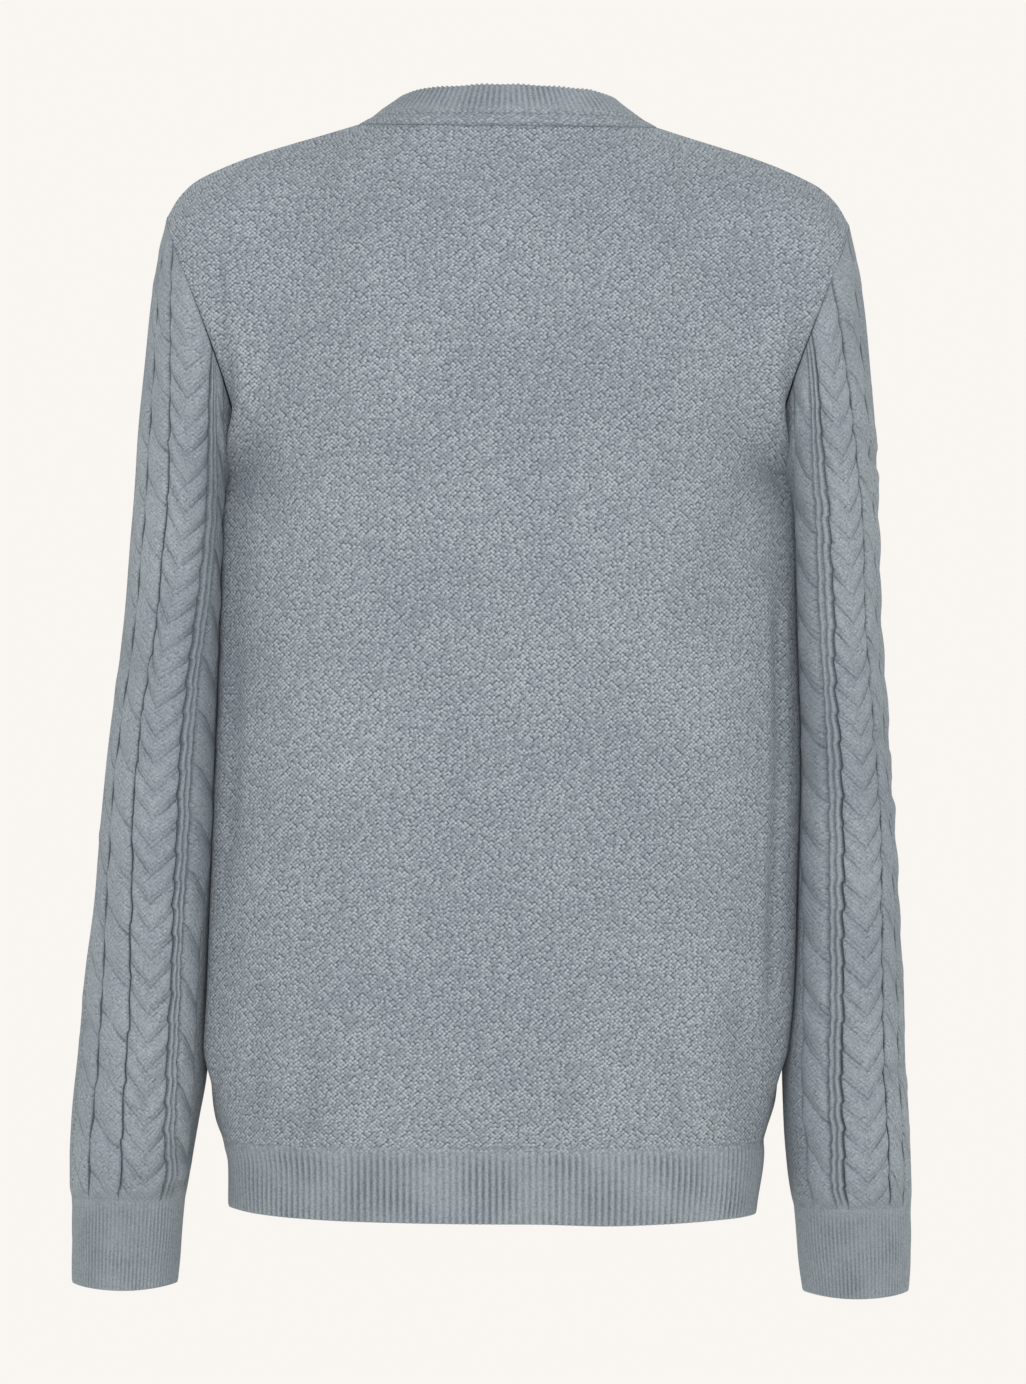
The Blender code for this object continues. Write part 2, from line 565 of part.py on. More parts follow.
def panel(name, facing, mirror, material):
    """Back, or a front; fronts are worked out on the left and mirrored for the right one."""
    grid, low_rows = panel_grid(facing, mirror)
    normals = panel_normals(grid, facing, low_rows)
    count = len(grid)
    keep_all = list(range(count))
    neck_columns = range(SHOULDER_COLUMNS, SHOULDER_COLUMNS + len(neck_angles(facing)))
    keep_inner = sorted(set(range(0, count, 2)) | set(neck_columns) | {count - 1})
    fine_t = [float(np.interp(c[0], CAP[:, 0], CAP[:, 1])) for c in SLEEVE_COLUMNS][::-1]
    coarse_t = [float(np.interp(c, CAP[:, 0], CAP[:, 1])) for c in SLEEVE_INNER][::-1]
    sides = []
    for depth, keep, shares in ((0.0, keep_all, fine_t), (WALL, keep_inner, coarse_t)):
        columns = []
        for k in keep:
            if k == 0:
                column = edge_column(facing, -1, grid, normals, low_rows, shares, depth)
            elif k == count - 1 and facing < 0:
                column = edge_column(facing, 1, grid, normals, low_rows, shares, depth)
            else:
                rows = slice(None) if depth == 0.0 else list(INNER_ROWS)
                column = grid[k, rows] - normals[k, rows] * depth
                column = finish_top(column, grid[k], k, facing)
            columns.append(lapped(column, facing, mirror, normals[k], depth))
        sides.append((columns, [k / (count - 1) for k in keep]))
    (outer, outer_at), (inner, inner_at) = sides
    for columns in (outer, inner):
        for column in columns:
            column[0, 2] = HEM_SEAM_Z + SEAM / 2
            if mirror:
                column[:, 0] *= -1.0
    if facing > 0:
        for columns in (outer, inner):
            columns[-1][:, 0] = (1 if mirror else -1) * (BAND_HALF + SEAM)
    return wall(name, outer, outer_at, inner, inner_at, False, material)


def finish_top(column, base, index, facing):
    """Draws a column's last point back from the seam along the cloth."""
    column = column.copy()
    column[-1] += unit(base[-2] - base[-1]) * SEAM / 2
    if index <= SHOULDER_COLUMNS or (facing < 0 and index >= SHOULDER_COLUMNS + BACK_NECK_COLUMNS):
        column[-1, 1] = facing * SEAM / 2
    return column


def lapped(column, facing, mirror, normals, depth):
    """Carries the right front out on to its band."""
    column = column.copy()
    if facing > 0 and mirror:
        out = lap(-column[:, 0], column[:, 1])[:, None]
        if out.any():
            rows = slice(None) if depth == 0.0 else list(INNER_ROWS)
            column = column + normals[rows] * out
    return column


# Sleeves ----------------------------------------------------------------------------------------
def sleeve_table(side):
    return SLEEVE_LEFT if side < 0 else SLEEVE_RIGHT


def sleeve_ring(side, facing, c, z):
    """Point of the sleeve's tube at distance c round it from the outermost line, at height z."""
    outer, inner, half = smooth(sleeve_table(side), z)[0]
    a = np.linspace(0.0, np.pi, 121)
    x = (outer + inner) / 2 + (outer - inner) / 2 * np.cos(a)
    y = half * np.sin(a)
    line = np.stack([side * x, facing * y, np.full_like(a, z)], axis=1)
    run = np.concatenate([[0.0], np.cumsum(np.linalg.norm(np.diff(line, axis=0), axis=1))])
    zone = min(CABLE_ZONE, ZONE_LIMIT * run[-1])
    if c <= CABLE_ZONE:
        s = c * zone / CABLE_ZONE
    else:
        s = zone + (c - CABLE_ZONE) / (SLEEVE_HALF - CABLE_ZONE) * (run[-1] - zone)
    return np.array([np.interp(s, run, line[:, k]) for k in range(3)])


def cap_share(c):
    return float(np.interp(c, CAP[:, 0], CAP[:, 1]))


def sleeve_top(side, facing, c):
    return float(armhole(side, facing, cap_share(c))[0, 2])


def cap_column(side, facing, c):
    """The sleeve above the upper arm: from its highest full section up to the armhole."""
    z0 = sleeve_table(side)[0, 0]
    base = sleeve_ring(side, facing, c, z0)
    below = sleeve_ring(side, facing, c, z0 - CAP_LEAD)
    top = armhole(side, facing, cap_share(c))[0]
    height = top[2] - z0
    m0 = (base - below) / CAP_LEAD * height
    lean = float(np.interp(c, CAP_LEAN[:, 0], CAP_LEAN[:, 1]))
    tuck = CAP_TUCK * np.sin(np.pi * min(c / CAP_TUCK_REACH, 1.0))
    m1 = np.array([-side * lean, -facing * tuck, 1.0]) * height
    return hermite(base, top, m0, m1, np.linspace(0.0, 1.0, 25)[:, None])


def sleeve_point(side, facing, c, z):
    """Point of the bare sleeve at column c and height z."""
    if z <= sleeve_table(side)[0, 0]:
        return sleeve_ring(side, facing, c, z)
    column = cap_column(side, facing, c)
    return np.array([np.interp(z, column[:, 2], column[:, k]) for k in range(3)])


def sleeve_frame(side, facing, c, z):
    """Point and outward direction of the bare sleeve."""
    p = sleeve_point(side, facing, c, z)
    top = sleeve_top(side, facing, c)
    z_mid = min(z, top - 2.5)
    up = sleeve_point(side, facing, c, z_mid + 2.0) - sleeve_point(side, facing, c, z_mid - 2.0)
    if c < 0.5 or c > SLEEVE_HALF - 0.5:
        n = np.cross(up, np.array([0.0, 1.0, 0.0]))
        out = side if c < 0.5 else -side
        n = unit(n)
        return p, n if n[0] * out > 0 else -n
    z_side = min(z_mid, sleeve_top(side, facing, c + 0.5) - 0.5)
    a = sleeve_point(side, facing, c - 0.5, z_side)
    b = sleeve_point(side, facing, c + 0.5, z_side)
    n = unit(np.cross(up, b - a))
    _, inner, _ = smooth(sleeve_table(side), z)[0]
    centre = np.array([side * (inner + SLEEVE_CORE_IN), 0.0, z])
    return p, n if np.dot(n, p - centre) > 0 else -n


def column_places(low, top, slope, count):
    """Heights of a column's points: a fixed raster from below, moved by its slope."""
    step = CABLE_PERIOD / count
    first = int(np.ceil((low + POINT_ROOM * step - slope) / step))
    last = int(np.floor((top - POINT_ROOM * step - slope) / step))
    numbers = [k for k in range(first, last + 1) if count > 1 or k % 2 == 0 or k * step > PLAIN_FROM_Z]
    return [k * step + slope for k in numbers], numbers


def sleeve_column(side, facing, spec, depth):
    """Points of one column; depth 0 carries the cables, the wall's depth is plain."""
    c, slope, rises = spec
    low = sleeve_table(side)[-1, 0] + SEAM / 2
    top = sleeve_top(side, facing, c)
    points = []
    if depth > 0.0:
        bend = sleeve_table(side)[0, 0]
        under, over = INNER_BEND
        rows = list(np.linspace(low, bend - under, SLEEVE_INNER_ROWS)) + [bend + over]
        rows += list(np.linspace(bend + over, top, 2 + int((top - bend) / INNER_CAP_STEP)))[1:-1]
        for z in rows:
            p, n = sleeve_frame(side, facing, c, z)
            points.append(p - n * depth)
    else:
        p, n = sleeve_frame(side, facing, c, low)
        points.append(p + n * CABLE_START * max(rises))
        places, numbers = column_places(low, top, slope, len(rises))
        for z, number in zip(places, numbers):
            p, n = sleeve_frame(side, facing, c, z)
            points.append(p + n * rises[number % len(rises)])
    points[0][2] = low
    t = cap_share(c)
    p, _, n = armhole_frame(side, facing, t)
    down = unit(sleeve_point(side, facing, c, top - 4.0) - sleeve_point(side, facing, c, top))
    raised = CABLE_END * max(rises) * between(0.0, 1.0, t, CABLE_END_FROM) if depth == 0.0 else -depth
    end = p[0] + down * SEAM / 2 + n[0] * raised
    points.append(end)
    column = np.array(points)
    if c in (0.0, SLEEVE_HALF):
        column[:, 1] = 0.0
    return column


def sleeve(name, side, material):
    """A sleeve with its cables, open at the armhole and at the cuff."""
    sides = []
    for depth, specs in ((0.0, SLEEVE_COLUMNS), (WALL, [(c, 0.0, (1.0,)) for c in SLEEVE_INNER])):
        back = [sleeve_column(side, -1, s, depth) for s in specs]
        front = [sleeve_column(side, 1, s, depth) for s in specs[-2:0:-1]]
        at = [s[0] / SLEEVE_HALF / 2 for s in specs]
        at += [1.0 - s[0] / SLEEVE_HALF / 2 for s in specs[-2:0:-1]]
        sides.append((back + front, at))
    (outer, outer_at), (inner, inner_at) = sides
    return wall(name, outer, outer_at, inner, inner_at, True, material)


# Ribbed pieces ----------------------------------------------------------------------------------
def cuff(name, side, material):
    """Ribbed cuff under a sleeve."""
    table = CUFF_LEFT if side < 0 else CUFF_RIGHT
    top = sleeve_table(side)[-1, 0]

    def ring(share, drop, rise):
        outer, inner, half = smooth(table, drop)[0]
        a = 2.0 * np.pi * share
        across = (outer - inner) / 2
        n = unit(np.array([np.cos(a) / across, np.sin(a) / half, 0.0]))
        x = (outer + inner) / 2 + across * np.cos(a) + n[0] * rise
        lift = CUFF_LIFT * np.cos(a) ** 2 * drop / CUFF_DEEP
        return np.array([side * x, half * np.sin(a) + n[1] * rise, top + lift - max(drop, SEAM / 2)])

    rib_at = np.arange(2 * CUFF_RIBS) / (2 * CUFF_RIBS)
    rib_ends = (CUFF_DEEP - RIB_FADE, RIB_FADE)
    ribs = [np.array([ring(s, d, RIB_RISE * (k % 2)) for d in rib_ends]) for k, s in enumerate(rib_at)]
    edge_at = np.arange(CUFF_EDGE_POINTS) / CUFF_EDGE_POINTS
    edges = [np.array([ring(s, d, RIB_EDGE) for d in (CUFF_DEEP, 0.0)]) for s in edge_at]
    inner = [np.array([ring(s, d, -WALL) for d in (CUFF_DEEP, 0.0)]) for s in edge_at]
    return ribbed_wall(name, ribs, rib_at, edges, inner, edge_at, True, material)


def ribbed_wall(name, ribs, rib_at, edges, inner, edge_at, ring, material):
    """A wall whose ribs fade into a plain edge at both of their ends."""
    verts = []
    faces = []
    rib = spread(ribs, rib_at, ring, verts, faces)
    ends = []
    for k in (0, -1):
        start = len(verts)
        verts.extend([tuple(column[k]) for column in edges])
        ends.append(list(range(start, start + len(edges))))
    back = spread(inner, edge_at, ring, verts, faces)
    for k, line in zip((0, -1), ends):
        close = [line[0]] if ring else []
        last = [1.0] if ring else []
        fine = [c[k] for c in rib[0]]
        within = [c[k] for c in back[0]]
        fine += [fine[0]] if ring else []
        within += [within[0]] if ring else []
        zipper(line + close, fine, list(edge_at) + last, list(rib_at) + last, faces)
        zipper(line + close, within, list(edge_at) + last, list(edge_at) + last, faces)
    if not ring:
        for k in (0, -1):
            outside = [ends[0][k]] + rib[0][k] + [ends[1][k]]
            places = np.linspace(0.0, 1.0, len(outside))
            zipper(outside, back[0][k], places, back[1][k], faces)
    return solid(name, verts, faces, material)


def hem_line(z):
    """The whole hem section from the right band round the back to the left band."""
    shares = np.linspace(0.0, 1.0, 241)
    behind = section(z, -1, shares)[::-1]
    stop = band_share(z)
    front_left = section(z, 1, np.linspace(0.0, stop, 100))
    x_edge = BAND_HALF + SEAM
    whole = section(z, 1, np.linspace(1.0, 0.5, 400))
    start = float(np.interp(-x_edge, -whole[:, 0], np.linspace(1.0, 0.5, 400)))
    front_right = section(z, 1, np.linspace(start, 1.0, 100))
    return np.concatenate([front_right, behind[1:], front_left[1:]])


def hem_lift(x):
    """How far the free edge is drawn up."""
    return float(smooth(HEM_LIFT, x)[0, 0])


def hem_band(name, material):
    """Ribbed hem, in one piece from band to band."""
    lines = [hem_line(HEM_Z), hem_line(HEM_SEAM_Z)]
    length = np.sum(np.linalg.norm(np.diff(lines[0], axis=0), axis=1))
    ribs = int(round(length / HEM_RIB_PITCH))

    def column(share, heights, rise):
        points = []
        for line, z in zip(lines, heights):
            near = along(line, [max(share - 0.002, 0.0), share, min(share + 0.002, 1.0)])
            tangent = unit(near[2] - near[0])
            n = np.array([tangent[1], -tangent[0], 0.0])
            n = n if np.dot(n, near[1] - np.array([0.0, 0.0, near[1][2]])) > 0 else -n
            out = rise + float(lap(near[1][0], near[1][1]))
            p = near[1] + n * out
            p[2] = z + hem_lift(p[0]) * (HEM_SEAM_Z - z) / (HEM_SEAM_Z - HEM_Z)
            points.append(p)
        return np.array(points)

    ends = (HEM_Z, HEM_SEAM_Z - SEAM / 2)
    rib_ends = (HEM_Z + RIB_FADE, HEM_SEAM_Z - RIB_FADE)
    rib_at = np.arange(2 * ribs + 1) / (2 * ribs)
    rows = [column(s, rib_ends, RIB_RISE * (k % 2)) for k, s in enumerate(rib_at)]
    edge_at = np.linspace(0.0, 1.0, HEM_EDGE_POINTS)
    edges = [column(s, ends, RIB_EDGE) for s in edge_at]
    inner = [column(s, ends, -WALL) for s in edge_at]
    for columns in (rows, edges, inner):
        columns[0][:, 0] = BAND_HALF + SEAM
        columns[-1][:, 0] = -BAND_HALF - SEAM
    return ribbed_wall(name, rows, rib_at, edges, inner, edge_at, False, material)


def neck_places():
    """The neckband's seam points, from the left band over the back to the right band."""
    places = [(a, 1) for a in neck_angles(1)[::-1]]
    places += [(a, -1) for a in neck_angles(-1)[1:]]
    places += [(np.pi - a, 1) for a in neck_angles(1)[1:]]
    return places


def neckband(name, material):
    """Ribbed neckband, linked to the panels and ending at the two front bands."""
    places = neck_places()
    seams = np.array([neck_seam(np.array(a), f) for a, f in places])
    edges = np.array([collar_edge(np.array(a), f) for a, f in places])
    normals = np.array([neck_normal(a, f) for a, f in places])
    run = np.concatenate([[0.0], np.cumsum(np.linalg.norm(np.diff((seams + edges) / 2, axis=0), axis=1))])
    at = run / run[-1]
    out = lap(seams[:, 0], seams[:, 1])[:, None]
    table_low = np.column_stack([at, seams + normals * out])
    table_top = np.column_stack([at, edges + normals * out])
    table_n = np.column_stack([at, normals])

    def column(share, steps, rise):
        low = smooth(table_low, share)[0]
        top = smooth(table_top, share)[0]
        n = unit(smooth(table_n, share)[0])
        up = unit(top - low)
        points = []
        for step in steps:
            raised = rise if step > 0.0 else min(rise, 0.0)
            p = low + (top - low) * step + n * raised
            if step == 0.0:
                p = p + up * SEAM / 2
            points.append(p)
        return np.array(points)

    ribs = int(round(run[-1] / NECK_RIB_PITCH))
    rib_at = np.arange(2 * ribs + 1) / (2 * ribs)
    rib_steps = (NECK_RIB_START, NECK_RIB_END)
    rows = [column(s, rib_steps, RIB_RISE * (k % 2)) for k, s in enumerate(rib_at)]
    edges = [column(s, (0.0, 1.0), 0.0) for s in at]
    inner = [column(s, (0.0, 1.0), -WALL) for s in at]
    made = ribbed_wall(name, rows, rib_at, edges, inner, at, False, material)
    stop = (BAND_HALF + SEAM) * MM
    for vertex in made.data.vertices:
        x, y, _ = vertex.co
        if y > 0 and abs(x) < stop:
            vertex.co.x = stop if x > 0 else -stop
    return made


# Closure ----------------------------------------------------------------------------------------
def front_line():
    """The middle of the front from the hem up to the neckband's edge, with outward directions."""
    rows = [HEM_Z, HEM_SEAM_Z] + list(BODY_ROWS[-2:0:-2]) + [BODY_ROWS[0]]
    low = np.array([(0.0, float(smooth(BODY, z)[0][3]), z) for z in rows])
    low[0, 2] += hem_lift(0.0)
    last = len(panel_shares(1)) - 1
    chest = np.array([0.0, BODY[0, 4], UNDERARM_Z])
    top = np.array([0.0, NECK_FRONT_DEPTH, -NECK_FRONT_DROP])
    beside = yoke(1, last, np.linspace(0.0, 1.0, 5))
    high = beside.copy()
    high[:, 0] = 0.0
    step = np.linspace(0.0, 1.0, len(beside))
    high[:, 1] += (1 - step) * (chest[1] - beside[0, 1]) + step * (top[1] - beside[-1, 1])
    edge = np.array([[0.0, COLLAR_FRONT_DEPTH, COLLAR_FRONT_HEIGHT]])
    line = np.concatenate([low, high, edge])
    up = unit(np.gradient(line, axis=0))
    normals = np.stack([0 * up[:, 0], up[:, 2], -up[:, 1]], axis=1)
    return line, normals


def band(name, out, ribs, material):
    """One of the two straight bands down the front; out is how far its base lies out."""
    line, normals = front_line()

    def column(x, rise):
        points = line + normals * (out + rise)
        points[:, 0] = x
        return points

    count = 2 * ribs if ribs else 2
    outer_at = np.arange(count + 1) / count
    outer = [column(BAND_HALF * (2 * s - 1), BAND_RIB_RISE * (k % 2) if ribs else 0.0)
             for k, s in enumerate(outer_at)]
    inner_at = np.arange(ribs + 1) / ribs if ribs else outer_at
    inner = [column(BAND_HALF * (2 * s - 1), -WALL) for s in inner_at]
    return wall(name, outer, outer_at, inner, inner_at, False, material)


def button(name, z, material):
    """Four-hole button lying on the upper band."""
    line, normals = front_line()
    order = np.argsort(line[:, 2])
    base_y = float(np.interp(z, line[order, 2], line[order, 1]))
    n = np.array([0.0, float(np.interp(z, line[order, 2], normals[order, 1])),
                  float(np.interp(z, line[order, 2], normals[order, 2]))])
    n = unit(n)
    up = np.array([0.0, -n[2], n[1]])
    side = np.array([1.0, 0.0, 0.0])
    start = np.array([0.0, base_y, z]) + n * (LAP + BAND_RIB_RISE + BUTTON_GAP)
    bm = bmesh.new()

    def place(x, y, h):
        p = start + side * x + up * y + n * h
        return bm.verts.new(tuple(p * MM))

    profile = [(BUTTON_RADIUS - inset, h) for inset, h in BUTTON_RINGS]
    angles = 2 * np.pi * np.arange(BUTTON_SIDES) / BUTTON_SIDES
    rings = [[place(r * np.cos(a), r * np.sin(a), h) for a in angles] for r, h in profile]
    for lower, upper in zip(rings, rings[1:]):
        for k in range(BUTTON_SIDES):
            m = (k + 1) % BUTTON_SIDES
            bm.faces.new((lower[k], lower[m], upper[m], upper[k]))
    for ring, (_, h) in ((rings[0], BUTTON_RINGS[0]), (rings[-1], BUTTON_RINGS[-1])):
        edges = [bm.edges.get((ring[k], ring[(k + 1) % BUTTON_SIDES])) for k in range(BUTTON_SIDES)]
        holes = []
        for cx in (-BUTTON_HOLE_OFFSET, BUTTON_HOLE_OFFSET):
            for cy in (-BUTTON_HOLE_OFFSET, BUTTON_HOLE_OFFSET):
                corners = [place(cx + BUTTON_HOLE * np.cos(a), cy + BUTTON_HOLE * np.sin(a), h)
                           for a in np.pi / 4 + np.pi / 2 * np.arange(4)]
                edges += [bm.edges.new((corners[k], corners[(k + 1) % 4])) for k in range(4)]
                holes.append(corners)
        bmesh.ops.triangle_fill(bm, use_beauty=True, use_dissolve=False, edges=edges,
                                normal=tuple(n))
        if h == 0.0:
            lower_holes = holes
    for low_hole, high_hole in zip(lower_holes, holes):
        for k in range(4):
            m = (k + 1) % 4
            bm.faces.new((low_hole[k], low_hole[m], high_hole[m], high_hole[k]))
    bmesh.ops.triangulate(bm, faces=bm.faces)
    bmesh.ops.recalc_face_normals(bm, faces=bm.faces)
    mesh = bpy.data.meshes.new(name)
    bm.to_mesh(mesh)
    bm.free()
    obj = bpy.data.objects.new(name, mesh)
    bpy.context.scene.collection.objects.link(obj)
    mesh.materials.append(material)
    return obj


# Materials --------------------------------------------------------------------------------------
def fabric(name, colour):
    made = bpy.data.materials.new(name)
    made.use_nodes = True
    shader = made.node_tree.nodes["Principled BSDF"]
    shader.inputs["Base Color"].default_value = colour
    shader.inputs["Roughness"].default_value = 0.95
    return made


def plastic(name, colour):
    made = fabric(name, colour)
    made.node_tree.nodes["Principled BSDF"].inputs["Roughness"].default_value = 0.35
    return made


def build():
    for obj in list(bpy.data.objects):
        bpy.data.objects.remove(obj, do_unlink=True)
    panel("back", -1, False, fabric("back_knit", KNIT_COLOUR))
    panel("front_left", 1, False, fabric("front_left_knit", KNIT_COLOUR))
    panel("front_right", 1, True, fabric("front_right_knit", KNIT_COLOUR))
    sleeve("sleeve_left", -1, fabric("sleeve_left_knit", KNIT_COLOUR))
    sleeve("sleeve_right", 1, fabric("sleeve_right_knit", KNIT_COLOUR))
    cuff("cuff_left", -1, fabric("cuff_left_rib", KNIT_COLOUR))
    cuff("cuff_right", 1, fabric("cuff_right_rib", KNIT_COLOUR))
    hem_band("hem_band", fabric("hem_rib", KNIT_COLOUR))
    neckband("neckband", fabric("neckband_rib", KNIT_COLOUR))
    band("button_band", 0.0, 0, fabric("button_band_rib", KNIT_COLOUR))
    band("buttonhole_band", LAP, BAND_RIBS, fabric("buttonhole_band_rib", KNIT_COLOUR))
    for k, z in enumerate(BUTTON_HEIGHTS):
        button(f"button_{k + 1}", z, plastic(f"button_{k + 1}_resin", BUTTON_COLOUR))


build()
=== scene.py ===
# %% [markdown]
# # A cable knit cardigan, seen from behind
#
# The CAD frame of this cardigan is a set of thin cloth walls. Here each of them is knitted again:
# the same surfaces, but with the cables, ribs and stitches that make a knit look like a knit.
# Every cell below does one thing, and most of them print what they made or measured.

import bmesh
import bpy
import numpy as np
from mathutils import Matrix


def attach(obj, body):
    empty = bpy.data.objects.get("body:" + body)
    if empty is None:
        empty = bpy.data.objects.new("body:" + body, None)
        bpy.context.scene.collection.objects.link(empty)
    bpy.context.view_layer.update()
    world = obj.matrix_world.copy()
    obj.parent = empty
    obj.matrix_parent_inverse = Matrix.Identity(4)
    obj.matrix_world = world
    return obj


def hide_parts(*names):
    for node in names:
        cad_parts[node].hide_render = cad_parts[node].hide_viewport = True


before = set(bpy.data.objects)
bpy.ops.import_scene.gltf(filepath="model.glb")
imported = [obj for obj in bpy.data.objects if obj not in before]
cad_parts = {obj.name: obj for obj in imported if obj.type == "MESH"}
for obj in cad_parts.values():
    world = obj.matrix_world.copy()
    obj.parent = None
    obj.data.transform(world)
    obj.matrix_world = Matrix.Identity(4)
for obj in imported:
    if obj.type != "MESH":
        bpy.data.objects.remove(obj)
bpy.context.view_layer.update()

# %% [markdown]
# ## Sizes
#
# All sizes are in millimetres: +Z is up, the front of the garment looks towards +Y and the
# wearer's left is at -X. The tables are the garment's own pattern, as they are in the frame:
# how wide and deep the body is at each height, how the sleeves run, and where the seams lie.

# %% Sizes of the garment
MM = 0.001
THICK = 2.4                   # the cloth without its relief
SEAM_GAP = 0.08               # what is left open between two pieces that are sewn together
FLIP = (-1.0, 1.0, 1.0)       # turns a point into its mirror image on the other side

NECK_HALF_WIDTH = 89.0
NECK_BACK_DEPTH, NECK_BACK_DROP = 62.0, 4.4
NECK_FRONT_DEPTH, NECK_FRONT_DROP, NECK_ROUND = 84.0, 84.0, 1.5
COLLAR_HALF_WIDTH, COLLAR_BACK_DEPTH, COLLAR_FRONT_DEPTH = 67.0, 50.0, 66.0
COLLAR_BACK_HEIGHT, COLLAR_SIDE_HEIGHT, COLLAR_FRONT_HEIGHT = 20.0, 11.0, -64.0

SHOULDER = np.array([
    (89.0, 0.0), (110.0, -6.5), (131.0, -12.8), (152.0, -19.6),
    (172.0, -27.6), (188.0, -36.0), (198.0, -46.0), (204.5, -57.0)])
SHOULDER_SHARE = 0.272
UNDERARM_X, UNDERARM_Z = 158.0, -210.0
# how strongly the armhole's edge is drawn outward and upward at the underarm and at the shoulder tip
ARMHOLE_LOW_OUT, ARMHOLE_LOW_UP = 225.0, 140.0
ARMHOLE_TOP_OUT, ARMHOLE_TOP_UP = 300.0, 40.0

# height, left edge, right edge, depth behind, depth in front
BODY = np.array([
    (-210.0, -158.0, 158.0, 112.0, 118.0),
    (-235.0, -165.5, 165.5, 113.0, 119.0),
    (-265.0, -167.8, 168.2, 113.0, 119.0),
    (-330.0, -169.0, 169.8, 112.0, 118.0),
    (-381.0, -171.0, 171.0, 111.0, 117.0),
    (-453.0, -173.8, 169.2, 110.5, 116.0),
    (-525.0, -176.4, 166.4, 110.5, 115.0),
    (-565.0, -178.4, 162.4, 110.5, 114.0),
    (-585.0, -177.4, 160.8, 109.0, 112.0),
    (-597.0, -175.6, 157.0, 106.0, 109.0),
    (-608.0, -171.0, 153.4, 101.5, 104.5),
    (-624.0, -167.2, 152.0, 100.0, 103.0),
    (-652.5, -166.4, 148.0, 98.0, 101.0)])
BODY_POWER = 2.35
HEM_SEAM_Z, HEM_Z = -608.0, -652.5
# the hem's free edge isn't level: distance from the middle, how far it is drawn up
HEM_LIFT = np.array([
    (-180.0, 5.6), (-166.0, 4.6), (-150.0, 2.8), (-125.0, 1.4), (-95.0, 0.4),
    (-16.0, -0.6), (16.0, -0.8), (62.0, -2.2), (110.0, -1.2), (150.0, 0.4), (165.0, 1.0)])

# height, outer edge, inner edge, half depth front to back
SLEEVE_LEFT = np.array([
    (-235.0, 224.6, 168.6, 62.0),
    (-285.0, 228.4, 170.1, 62.5),
    (-333.0, 233.8, 171.4, 61.0),
    (-393.0, 241.2, 173.4, 58.0),
    (-453.0, 246.2, 175.7, 55.0),
    (-507.0, 252.4, 178.4, 52.0),
    (-567.0, 258.2, 181.2, 50.0),
    (-597.0, 260.8, 186.0, 48.5),
    (-620.0, 262.0, 190.0, 46.0),
    (-636.0, 262.0, 193.0, 41.5),
    (-643.0, 261.0, 194.5, 37.5)])
SLEEVE_RIGHT = np.array([
    (-235.0, 221.2, 168.6, 62.0),
    (-285.0, 222.4, 170.4, 62.5),
    (-333.0, 225.0, 172.0, 61.0),
    (-381.0, 228.2, 173.0, 59.0),
    (-453.0, 232.8, 171.4, 55.0),
    (-525.0, 236.6, 168.6, 52.0),
    (-567.0, 237.8, 165.2, 50.0),
    (-597.0, 239.4, 165.8, 48.5),
    (-625.0, 240.8, 168.0, 46.0),
    (-641.0, 241.2, 170.6, 41.5),
    (-648.0, 241.0, 172.4, 37.5)])
# drop from the sleeve's end, outer edge, inner edge, half depth
CUFF_LEFT = np.array([(0.0, 261.0, 194.5, 37.5), (25.0, 260.8, 196.5, 35.5), (54.0, 261.0, 199.0, 34.0)])
CUFF_RIGHT = np.array([(0.0, 241.0, 172.4, 37.5), (25.0, 241.0, 174.2, 35.5), (54.0, 239.8, 177.6, 34.0)])
CUFF_RIBS, CUFF_DEEP, CUFF_LIFT = 84, 54.0, 3.0
CABLE_ZONE, SLEEVE_HALF = 110.0, 154.0
CAP = np.array([
    (0.0, 1.0), (19.0, 0.96), (38.0, 0.915), (59.5, 0.855), (72.0, 0.69),
    (84.5, 0.53), (92.5, 0.45), (110.0, 0.31), (132.0, 0.15), (154.0, 0.0)])
BAND_HALF, SEAM, LAP, LAP_RUN = 15.0, 0.4, 2.95, 45.0
BAND_RIBS = 8
BUTTON_HEIGHTS = (-631.0, -524.0, -420.0, -316.0, -212.0, -108.0)
print("body", len(BODY), "sections, sleeves", len(SLEEVE_LEFT), "sections each")

# %% [markdown]
# ## Curves
#
# A few small tools carry everything: a curve through a table that never overshoots, a cubic
# between two points with chosen directions, a soft step from 0 to 1, a smooth hill, and places
# along a line. Cloth is never quite even, so there is a soft field of small hills too.


# %% Curve tools
def smooth(table, at):
    """Rows of a table joined by a curve that never overshoots; the first column is the place."""
    order = np.argsort(table[:, 0])
    x, y = table[order, 0], table[order, 1:]
    h = np.diff(x)[:, None]
    step = np.diff(y, axis=0) / h
    slope = np.zeros_like(y)
    slope[0], slope[-1] = step[0], step[-1]
    w0, w1 = 2.0 * h[1:] + h[:-1], h[1:] + 2.0 * h[:-1]
    same = step[:-1] * step[1:] > 0.0
    safe0, safe1 = np.where(same, step[:-1], 1.0), np.where(same, step[1:], 1.0)
    slope[1:-1] = np.where(same, (w0 + w1) / (w0 / safe0 + w1 / safe1), 0.0)
    at = np.clip(np.atleast_1d(np.asarray(at, float)), x[0], x[-1])
    i = np.clip(np.searchsorted(x, at) - 1, 0, len(x) - 2)
    t = ((at - x[i]) / (x[i + 1] - x[i]))[:, None]
    return hermite(y[i], y[i + 1], slope[i] * h[i], slope[i + 1] * h[i], t)


def hermite(p0, p1, m0, m1, t):
    """Cubic from p0 to p1 that leaves along m0 and arrives along m1."""
    return ((1 + 2 * t) * (1 - t) ** 2 * p0 + t * t * (3 - 2 * t) * p1
            + t * (1 - t) ** 2 * m0 + t * t * (t - 1) * m1)


